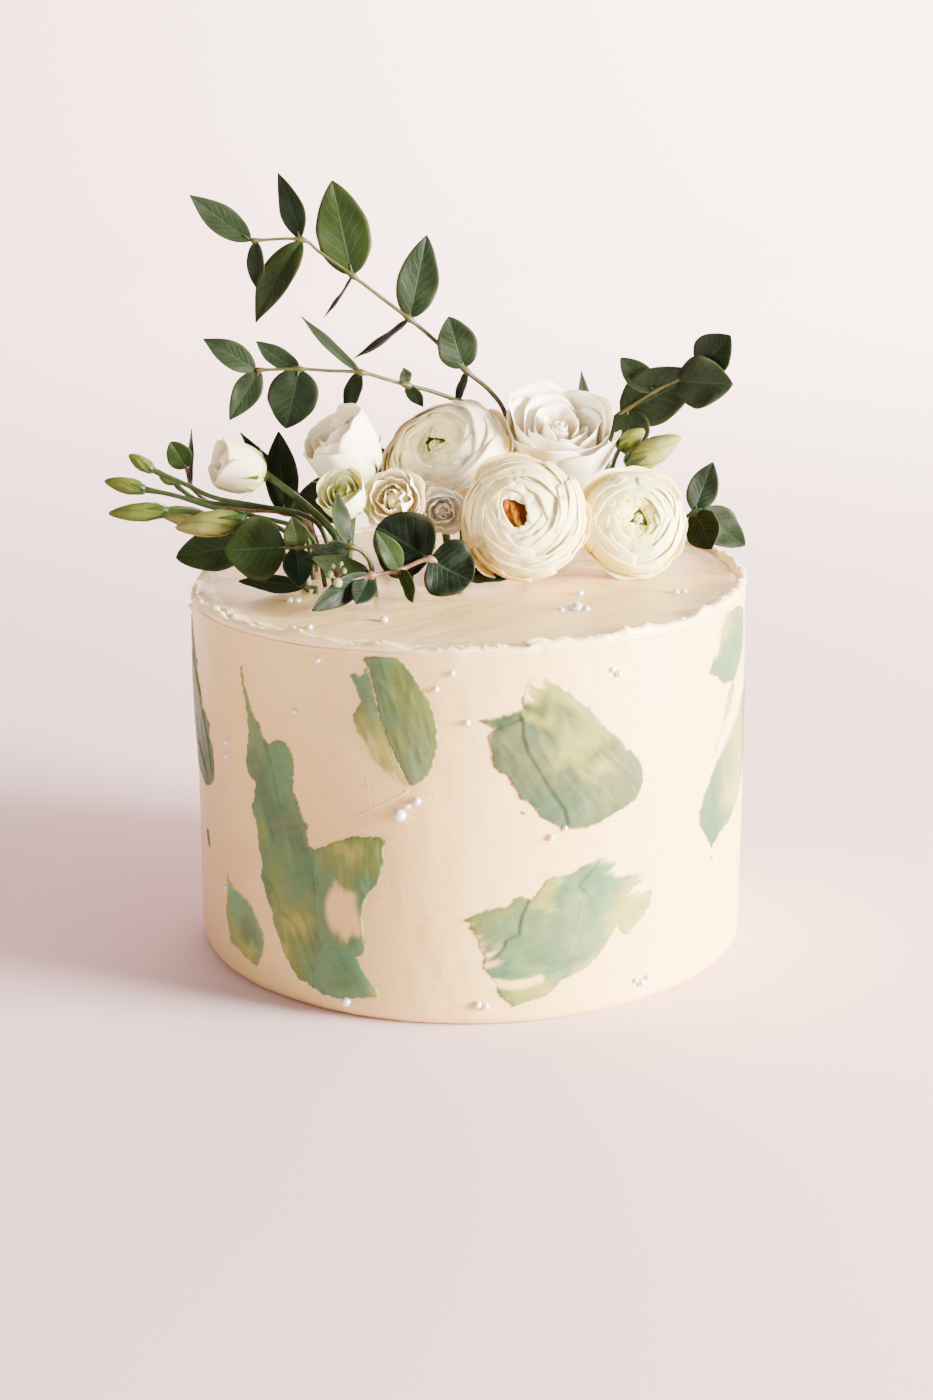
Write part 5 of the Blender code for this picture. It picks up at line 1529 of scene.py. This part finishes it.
budForms = {
    "bud_left_1": {
        "tip": (-125, 10, 181), "base": (-116.5, 8.5, 175.5), "radius": 2.6, "tint": "green",
        "route": [(-104, 6, 170.5), (-93, 1, 166.5), (-78, -1, 164), (-60, -0.5, 160),
                  (-53, 0, 152), onTop(-50, 1)],
    },
    "bud_left_2": {
        "tip": (-133.5, 4, 172.5), "base": (-119, 2.5, 169.5), "radius": 3, "tint": "green",
        "route": [(-107, 0, 167.5), (-94, -3.5, 164), (-78, -4, 160.5), (-62, -3.5, 156),
                  (-56, -3, 149), onTop(-53, -3)],
    },
    "bud_left_small": {
        "tip": (-114.5, 13, 172.2), "base": (-109, 11.5, 170), "radius": 1.6, "tint": "green",
        "route": [(-100, 9, 164), (-85, 8.5, 162), (-70, 8.5, 160), (-61, 8, 154),
                  onTop(-58, 8)],
    },
    "bud_left_3": {
        "tip": (-131, -6.5, 162.5), "base": (-110, -6.2, 163.2), "radius": 3.4, "tint": "green",
        "route": [(-97, -5.5, 162), (-80, -5.8, 156), (-66, -6.5, 150), onTop(-60, -7.5)],
    },
    "bud_left_4": {
        "tip": (-115, 4, 161), "base": (-96.5, 3, 158), "radius": 3.6, "tint": "pale",
        "route": [(-83, 3, 154.5), (-71, 3.5, 150), onTop(-65, 4.5)],
    },
    "bud_left_5": {
        "tip": (-106, -13, 158.5), "base": (-81.5, -13, 161), "radius": 4.8, "tint": "pale",
        "route": [(-72, -14, 160), (-63, -12.5, 152), onTop(-59, -11.5)],
    },
    "bud_right_1": {
        "tip": (66.2, 30, 185.5), "base": (57, 29.5, 179), "radius": 3.4, "tint": "yellow",
        "route": [(54.5, 28, 172), (53, 27, 155), onTop(52, 27)],
    },
    "bud_right_2": {
        "tip": (79.2, 24, 183.8), "base": (60, 24, 173.5), "radius": 5.2, "tint": "pale",
        "route": [(58, 25, 164), (58, 24.5, 152), onTop(57, 25)],
    },
}
# how wide a bud is at shares of its length from the tip
budOutline = [(0.0, 0.20), (0.14, 0.56), (0.38, 0.92), (0.62, 1.0), (0.84, 0.80), (0.97, 0.45)]
budTints = {
    "green": ((0.098, 0.120, 0.018), (0.034, 0.060, 0.007)),
    "pale": ((0.215, 0.215, 0.055), (0.056, 0.090, 0.012)),
    "yellow": ((0.180, 0.190, 0.026), (0.052, 0.084, 0.008)),
}
budGrain = {"petals": 5, "rows": 20, "columns": 9, "thickness": 0.00022, "sepals": 0.0002, "stem": 0.0009}


def addBudPetal(pile, form, base, length, axes, k):
    # one of the petals wound round each other, a strip of the bud's own outline
    side, other, out = axes
    outline, (pale, deep) = np.array(budOutline), np.array(budTints[form["tint"]])
    t = np.linspace(0, 1, budGrain["rows"])[:, None]
    a = np.linspace(-1, 1, budGrain["columns"])[None, :]
    share = np.interp(1 - t, outline[:, 0], outline[:, 1])
    turn = 2 * math.pi * k / budGrain["petals"] + 1.5 * t + a * 0.86
    radius = form["radius"] * share * (1.0 + 0.13 * a - 0.10 * a * a)
    reach = t * (1 - 0.06 * a**2) + 0.015 * math.sin(k * 2.1)
    ring = side * np.cos(turn)[..., None] + other * np.sin(turn)[..., None]
    grid = base + out * (reach * length)[..., None] + ring * radius[..., None]
    mix = np.clip(np.abs(a) ** 3 * 0.55 + ease((0.35 - t) / 0.35), 0, 1)[..., None]
    tint = opaque(pale * (1 - mix) + deep * mix, grid)
    addShell(pile, grid, budGrain["thickness"], joined(a * 0.5 + 0.5 + 3 * k, t), tint)


def makeBud(name, form):
    petals, green = newPile(), newPile()
    tip, base = np.asarray(form["tip"]), np.asarray(form["base"])
    length, out, radius = np.linalg.norm(base - tip), unit(tip - base), form["radius"]
    side = unit(np.cross(out, (0.2, 0.5, 0.8)))
    axes = side, np.cross(out, side), out
    for k in range(budGrain["petals"]):
        addBudPetal(petals, form, base, length, axes, k)
    t = np.linspace(0, 1, 9)
    reach = radius * (0.35 + 0.68 * np.sqrt(np.clip(t * 1.3, 0, 1)))
    sizes = reach, 0.42 * length * t, radius * 0.30 * (1 - t) ** 0.7
    addSepals(green, base - out * 0.05 * length, axes, 0.6, *sizes, budGrain["sepals"], greenTints["stem"])
    route = smoothRow([base + out * 0.05 * length, *form["route"]], 40)
    radii = np.full(40, budGrain["stem"])
    radii[:4] = [radius * 0.5, radius * 0.42, 0.0012, 0.001]
    addTube(green, route, radii, 10, greenTints["stem"])
    makePiece(name + "_petals", petals, looks["bud"], name)
    makePiece(name + "_stem", green, looks["stem"], name)


for name, form in budForms.items():
    makeBud(name, inMetres(form, "tip", "base", "radius", "route"))
print("stage: buds placed")


# Eucalyptus, in mm. A leaf grows from a place along its stem, counted in the stem's points, to its
# tip: (place, tip, width, turn in degrees, bow, roundness, tint)

leafTints = {
    "d": (0.007, 0.013, 0.005),  # dark green
    "g": (0.009, 0.015, 0.006),  # grey green
    "b": (0.006, 0.011, 0.006),  # blue green
    "o": (0.014, 0.020, 0.005),  # olive
    "l": (0.012, 0.022, 0.004),  # fresh green
    "n": (0.0032, 0.0060, 0.0032),  # deep blue green
}
stemTints = {
    "olive": (0.050, 0.046, 0.010, 1),
    "green": (0.022, 0.038, 0.008, 1),
    "rose": (0.150, 0.070, 0.045, 1),
}
sprigForms = {
    "eucalyptus_tall_sprig": {
        "bark": "olive",
        "stem": [
            onTop(18, 60), (19, 60, 162), (15, 56, 186), (9, 56, 196),
            (0, 55, 204), (-13, 53, 217), (-22, 51, 225), (-32, 49, 233),
            (-43, 46, 242), (-55, 44, 251), (-62, 42, 256), (-80, 38, 256),
        ],
        "leaves": [
            (11, (-102, 36, 273), 11.5, 10, 0.06, 0.9, "g"),
            (10.9, (-78, 40, 237), 7.5, 20, -0.05, 0.9, "g"),
            (10, (-70, 46, 280), 10, -25, 0.08, 0.9, "g"),
            (9.9, (-79, 36, 226), 13.5, 15, -0.1, 0.9, "o"),
            (8, (-50, 48, 277), 20.5, 0, 0.03, 0.75, "l"),
            (8, (-54, 42, 227), 6, 70, 0.05, 0.9, "g"),
            (6, (-15, 54, 256), 16, 10, -0.04, 0.8, "d"),
            (6, (-43, 46, 211), 8.5, 60, 0.05, 0.9, "g"),
            (4.1, (-7, 48, 226), 16, 5, 0.04, 0.7, "d"),
            (4, (-5, 57, 191), 7, 55, 0.03, 0.9, "g"),
        ],
    },
    "eucalyptus_low_sprig": {
        "bark": "olive",
        "stem": [
            onTop(8, 58), (9, 58, 165), (5, 54, 189), (-5, 51, 194),
            (-14, 47, 198), (-23, 43, 201), (-31, 39, 204), (-40, 36, 207),
            (-52, 34, 208), (-63, 32, 209), (-79, 30, 209),
        ],
        "leaves": [
            (10, (-98, 28, 221), 10.5, 10, -0.05, 0.9, "g"),
            (9.9, (-89, 26, 191), 10.5, -15, 0.04, 0.85, "g"),
            (9, (-79, 36, 219), 9, 25, 0.1, 0.8, "d"),
            (9, (-68, 24, 188), 19.5, 5, 0.05, 0.7, "g"),
            (7, (-62, 38, 228), 7, 50, 0.04, 0.95, "g"),
            (7, (-47, 41, 191), 8.5, 30, 0.03, 0.9, "g"),
            (5, (-24, 40, 208), 6, 30, 0.05, 0.9, "d"),
            (5, (-17, 46, 192), 6.5, 35, 0.05, 0.9, "g"),
        ],
    },
    "eucalyptus_right_sprig": {
        "bark": "olive",
        "stem": [
            onTop(46, 64), (47, 63, 160), (50, 60, 180), (59, 58, 187),
            (72, 56, 196), (80, 55, 200), (88, 54, 205),
        ],
        "leaves": [
            (6, (100, 50, 218), 16.5, -10, 0.08, 0.8, "g"),
            (5, (101, 46, 200), 20, 10, -0.05, 0.75, "g"),
            (3, (88, 52, 203), 21.5, -5, 0.04, 0.65, "g"),
            (4, (59, 62, 208), 11, 10, 0.06, 0.7, "g"),
            (3.2, (62, 49, 172), 17.5, 15, 0.06, 0.8, "d"),
            (1.6, (44, 61, 203), 7.5, 25, 0.05, 0.9, "g"),
        ],
    },
    "eucalyptus_right_low_sprig": {
        "bark": "green",
        "stem": [onTop(72, 36), (76, 36, 146), (86, 34, 153), (89, 34, 153.5)],
        "leaves": [
            (2, (93, 36, 172), 12, 5, 0.06, 0.8, "b"),
            (2, (92, 26, 140.5), 16, 35, 0.1, 0.7, "d"),
            (3, (106, 36, 139.5), 15, -10, 0.08, 0.75, "g"),
        ],
    },
    "eucalyptus_front_sprig": {
        "seeds": [
            (-49, -44, 147.8, 1.4, (0.1, 0.16, 0.04, 1)), (-46.2, -45.2, 145.2, 1.7, (0.26, 0.3, 0.14, 1)),
            (-44, -43.5, 149, 1.1, (0.09, 0.14, 0.05, 1)), (-47.8, -42, 150.5, 0.9, (0.16, 0.22, 0.12, 1)),
            (-45, -43, 151.5, 0.8, (0.12, 0.18, 0.08, 1)),
        ],
        "bark": "rose",
        "stem": [
            onTop(-3, -20), (-6, -23, 142), (-14, -26, 149), (-25, -30, 146),
            (-35, -34, 145), (-44, -39, 144.5), (-47, -41, 145.5),
        ],
        "leaves": [
            (2, (-33, -20, 160), 25, -10, 0.06, 0.5, "n"),
            (2, (1, -29, 141.5), 22.5, -10, 0.06, 0.5, "n"),
            (4, (-56, -35, 152), 9.5, 20, 0.08, 0.8, "o"),
            (4, (-55, -51, 136.5), 10, -30, 0.06, 0.75, "b"),
            (4, (-40, -44, 137.2), 9.5, -10, 0.06, 0.7, "b"),
            (3, (-33, -36, 162), 8.5, 15, -0.12, 0.8, "l"),
            (3, (-20, -46, 138), 7, 45, 0.1, 0.8, "l"),
        ],
    },
    "eucalyptus_front_left_sprig": {
        "bark": "olive",
        "stem": [
            onTop(-34, -20), (-36, -22, 148), (-42, -24.5, 153.5), (-52, -25, 154),
            (-62, -23.5, 153), (-66, -22.5, 153),
        ],
        "leaves": [
            (2, (-47, -26.5, 174), 8.5, 40, 0.1, 0.9, "g"),
            (2.1, (-59, -31, 150.5), 10, -35, -0.05, 0.8, "b"),
            (4, (-60.5, -31, 140.5), 11, 0, 0.05, 0.7, "b"),
            (3.9, (-63, -26.5, 165), 9.5, 5, -0.05, 0.8, "o"),
            (5, (-88, -22.5, 152), 23.5, 0, 0.04, 0.7, "l"),
        ],
    },
    "eucalyptus_left_sprig": {
        "bark": "rose",
        "stem": [
            onTop(-58, 23), (-60, 21, 152), (-71, 18, 157.5), (-85, 14.5, 159),
            (-97, 14.5, 162.5), (-103, 15, 168), (-104.5, 15, 175),
        ],
        "leaves": [
            (6, (-110, 14, 185), 9.5, 0, 0.04, 0.6, "l"),
            (5, (-102.5, 20, 189), 4.5, 70, 0.03, 0.95, "g"),
            (1.8, (-71, 29, 186), 13, 15, 0.05, 0.8, "d"),
            (1, (-68, 27, 164), 6, 20, 0.04, 0.9, "d"),
        ],
    },
    "leaf_behind_open_bud": {
        "bark": "green",
        "stem": [onTop(-56, 34), (-60, 34, 150)],
        "leaves": [(1, (-86, 36, 184.5), 8.5, 10, 0.04, 0.9, "g")],
    },
    "leaf_dark_left": {
        "bark": "green",
        "stem": [onTop(-62, -3), (-70, 0, 145), (-82, 3, 149)],
        "leaves": [(2, (-109, 8, 142.5), 16, -5, 0.05, 0.65, "l")],
    },
    "leaf_flat_left": {
        "bark": "green",
        "stem": [onTop(-56, -14), (-60, -15, 136.5)],
        "leaves": [(1, (-84, -14, 138.5), 8, -40, 0.04, 0.75, "b")],
    },
    "leaf_under_rose_left": {
        "bark": "green",
        "stem": [onTop(-12, -4), (-10, -3, 139)],
        "leaves": [(1, (2, 0, 149.5), 12, -5, 0.05, 0.65, "d")],
    },
    "leaf_under_rose": {
        "bark": "green",
        "stem": [onTop(-6, -8), (-3, -8.5, 139.5)],
        "leaves": [(1, (14.5, -11, 138.5), 7.5, -40, 0.03, 0.6, "o")],
    },
    "eucalyptus_back_left_sprig": {
        "bark": "olive",
        "stem": [onTop(-14, 58), (-17, 60, 146), (-28, 62, 151), (-40, 62, 153)],
        "leaves": [
            (3, (-66, 56, 156), 20, 185, 0.06, 0.7, "g"),
            (2, (-38, 58, 176), 18, 175, 0.08, 0.7, "d"),
            (2, (-36, 80, 144), 18, 235, 0.08, 0.7, "b"),
            (1, (-8, 68, 174), 20, 170, -0.06, 0.7, "g"),
        ],
    },
    "eucalyptus_back_right_sprig": {
        "bark": "olive",
        "stem": [onTop(60, 50), (58, 58, 145), (52, 70, 149), (42, 76, 150)],
        "leaves": [
            (3, (20, 78, 156), 20, 180, 0.06, 0.7, "g"),
            (2, (44, 78, 174), 18, 175, 0.06, 0.7, "g"),
            (1.5, (80, 66, 156), 18, 185, 0.06, 0.7, "d"),
            (2.5, (50, 94, 143), 16, 215, 0.06, 0.7, "b"),
        ],
    },
}
leafGrain = {
    "rows": 22,
    "columns": 13,
    "thickness": 0.00042,
    "wave": 0.10,
    "fold": 0.10,
    "facing": (0.0, -1.0, 0.3),  # the way a leaf turns its face
    "edge": (0.10, 0.085, 0.035),
    "under": 1.6,  # how much paler a leaf is underneath
    "stemThick": 0.0012,
    "stemThin": 0.0006,
    "stalk": 0.12,  # the stalk's share of the way to the tip
    "seedStalk": 0.0004,
}


def addLeaf(pile, base, form, seed):
    _, tip, width, turn, bow, roundness, tintKey = form
    base, tip, width = Vector(base), Vector(tip) * 0.001, width * 0.001
    ahead = tip - base
    length = ahead.length
    ahead.normalize()
    viewedFrom = Vector(leafGrain["facing"])
    facing = viewedFrom - ahead * viewedFrom.dot(ahead)
    facing.normalize()
    facing = Matrix.Rotation(math.radians(turn), 3, ahead) @ facing
    across = np.array(ahead.cross(facing))
    ahead, facing, base = np.array(ahead), np.array(facing), np.array(base)
    part = np.linspace(0, 1, leafGrain["rows"])[:, None]
    side = np.linspace(-1, 1, leafGrain["columns"])[None, :]
    half = 0.5 * width * np.sin(math.pi * np.clip(part, 0.0015, 0.9985) ** 0.8) ** roundness
    half = np.maximum(half, 0.00025)
    nib = 1 + 0.03 * wander(part * 7 + seed, side * 0.5)
    rise = -4 * bow * part * (1 - part) * length
    wave = leafGrain["wave"] * half * np.abs(side) * (1 + np.sin(9 * part + 2 * side))
    crisp = 0.05 * half * side**2 * wander(part * 6 + seed, side * 1.2 + seed)
    fold = leafGrain["fold"] * half * np.abs(side)
    groove = 0.00016 * hill(side * half, 0.0006)
    grid = (
        base
        + ahead * (length * part)[..., None]
        + across * (half * side * nib)[..., None]
        + facing * (rise + wave + crisp + fold * 0.5 - groove)[..., None]
    )
    tint = np.array(leafTints[tintKey]) * (1 + 0.22 * wander(part * 2 + seed, side * 1.3))[..., None]
    edge = (0.20 * np.abs(side) ** 8)[..., None]
    tint = opaque(tint * (1 - edge) + np.array(leafGrain["edge"]) * edge, grid)
    maps = joined(side * 0.5 + 0.5, part)
    addShell(pile, grid, leafGrain["thickness"], maps, tint, under=leafGrain["under"])


def between(points, place):
    i = min(int(place), len(points) - 2)
    return np.asarray(points[i]) * (1 - place + i) + np.asarray(points[i + 1]) * (place - i)


def makeSprig(name, form, number):
    leaves, wood = newPile(), newPile()
    bark = stemTints[form["bark"]]
    stem = form["stem"]
    route = [stem[0], stem[0] + np.array([0, 0, 0.002]), *stem[1:]]
    count = 8 * len(route)
    fine = smoothRow(route, count)
    swell = np.linspace(leafGrain["stemThick"], leafGrain["stemThin"], count) * 0.92
    for k, leaf in enumerate(form["leaves"]):
        base = between(stem, leaf[0])
        # the stem thickens a little where a leaf grows
        swell = swell + 0.0004 * hill(np.linalg.norm(fine - base, axis=1), 0.0016)
        addLeaf(leaves, base, leaf, 5.3 * k + 2.9 * number)
        end = base + (np.array(leaf[1]) * 0.001 - base) * leafGrain["stalk"]
        stalk = smoothRow([base, (base + end) / 2, end], 6)
        addTube(wood, stalk, np.linspace(0.0006, 0.00028, 6), 8, bark)
    addTube(wood, fine, swell, 10, bark)
    for *spot, radius, tint in form.get("seeds", []):
        spot = np.array(spot) * 0.001
        addBall(wood, spot, radius * 0.001, tint, rough=0.15)
        addTube(wood, np.linspace(spot, fine[-1], 5), np.full(5, leafGrain["seedStalk"]), 7, bark)
    makePiece(name + "_leaves", leaves, looks["leaf"], name)
    makePiece(name + "_stem", wood, looks["stem"], name)


for number, (name, form) in enumerate(sprigForms.items()):
    makeSprig(name, inMetres(form, "stem"), number)
print("stage: greenery placed")


# Floor, light and camera

cakeMiddle = (0, 0, 0.13)
studio = {
    "floorColour": (0.80, 0.60, 0.61),
    "floorFront": -6.0,
    "floorBack": 2.2,  # where the floor bends up into the wall
    "floorBend": 1.2,
    "floorTop": 6.0,
    "floorHalf": 7.0,
    "airColour": (1.0, 0.90, 0.88),
    "airStrength": 0.48,
    "tint": (1.0, 0.95, 0.87),
    "discs": {  # place, what it is aimed at, size and power
        "windowLight": ((1.52, -0.52, 0.34), cakeMiddle, 0.8, 360.0),
        "overheadLight": ((0.45, 0.10, 1.55), cakeMiddle, 0.9, 5.0),
        "wallLight": ((1.0, 1.3, 2.0), (1.0, 3.4, 0.7), 1.4, 560.0),
        "frontFill": ((-1.1, -1.4, 0.7), cakeMiddle, 1.2, 4.5),
    },
    "flowerPower": 200.0,
    "flowerPlace": (-0.95, -1.20, 0.30),
    "flowerAim": (-0.03, 0.0, 0.225),
    "flowerAngle": 6.6,
    "flowerEdge": 0.35,
    "flowerSize": 0.12,
}


def makeFloor():
    back, bend, half = studio["floorBack"], studio["floorBend"], studio["floorHalf"]
    outline = [(studio["floorFront"], 0.0), (back, 0.0)]
    for angle in np.linspace(0.15, math.pi / 2, 12):
        outline.append((back + bend * math.sin(angle), bend - bend * math.cos(angle)))
    outline.append((back + bend, studio["floorTop"]))
    points, faces = [], []
    for y, z in outline:
        points += [(-half, y, z), (half, y, z)]
    for k in range(len(outline) - 1):
        faces.append((2 * k, 2 * k + 1, 2 * k + 3, 2 * k + 2))
    mesh = bpy.data.meshes.new("paleFloor")
    mesh.from_pydata(points, [], faces)
    mesh.shade_smooth()
    look, tree, shader = newLook("paleFloor")
    setInputs(tree, shader, {"Base Color": studio["floorColour"] + (1.0,), "Roughness": 0.75})
    mesh.materials.append(look)
    floor = bpy.data.objects.new("paleFloor", mesh)
    bpy.context.scene.collection.objects.link(floor)


def addLamp(name, kind, place, target, power, settings):
    light = bpy.data.lights.new(name, kind)
    light.energy, light.color = power, studio["tint"]
    for key, value in settings.items():
        setattr(light, key, value)
    lamp = bpy.data.objects.new(name, light)
    bpy.context.scene.collection.objects.link(lamp)
    lamp.location = place
    lamp.rotation_euler = (Vector(target) - Vector(place)).to_track_quat("-Z", "Y").to_euler()


def makeStudio():
    makeFloor()
    world = bpy.data.worlds.new("softRoom")
    bpy.context.scene.world = world
    world.use_nodes = True
    sky = world.node_tree.nodes["Background"]
    air = {"Color": studio["airColour"] + (1.0,), "Strength": studio["airStrength"]}
    setInputs(world.node_tree, sky, air)
    for name, (place, target, size, power) in studio["discs"].items():
        addLamp(name, "AREA", place, target, power, {"shape": "DISK", "size": size})
    beam = {
        "spot_size": math.radians(studio["flowerAngle"]),
        "spot_blend": studio["flowerEdge"],
        "shadow_soft_size": studio["flowerSize"],
    }
    addLamp("flowerLight", "SPOT", studio["flowerPlace"], studio["flowerAim"], studio["flowerPower"], beam)


photoCamera = {
    "imageHeight": 1400,
    "focalPixels": 2586.9,
    "sensor": 36.0,
    "place": (-0.00116, -0.9324, 0.3547),
    "pitchDown": 0.2776,
    "roll": -0.0064,
}


def makeCamera():
    lens = bpy.data.cameras.new("photoCamera")
    lens.sensor_width = photoCamera["sensor"]
    lens.sensor_fit = "AUTO"
    lens.lens = photoCamera["focalPixels"] / photoCamera["imageHeight"] * photoCamera["sensor"]
    lens.clip_start = 0.05
    camera = bpy.data.objects.new("photoCamera", lens)
    bpy.context.scene.collection.objects.link(camera)
    camera.location = photoCamera["place"]
    camera.rotation_euler = (math.pi / 2 - photoCamera["pitchDown"], 0.0, 0.0)
    camera.rotation_euler.rotate_axis("Z", photoCamera["roll"])
    bpy.context.scene.camera = camera


makeStudio()
makeCamera()

bpy.context.view_layer.update()
print("stage: done")
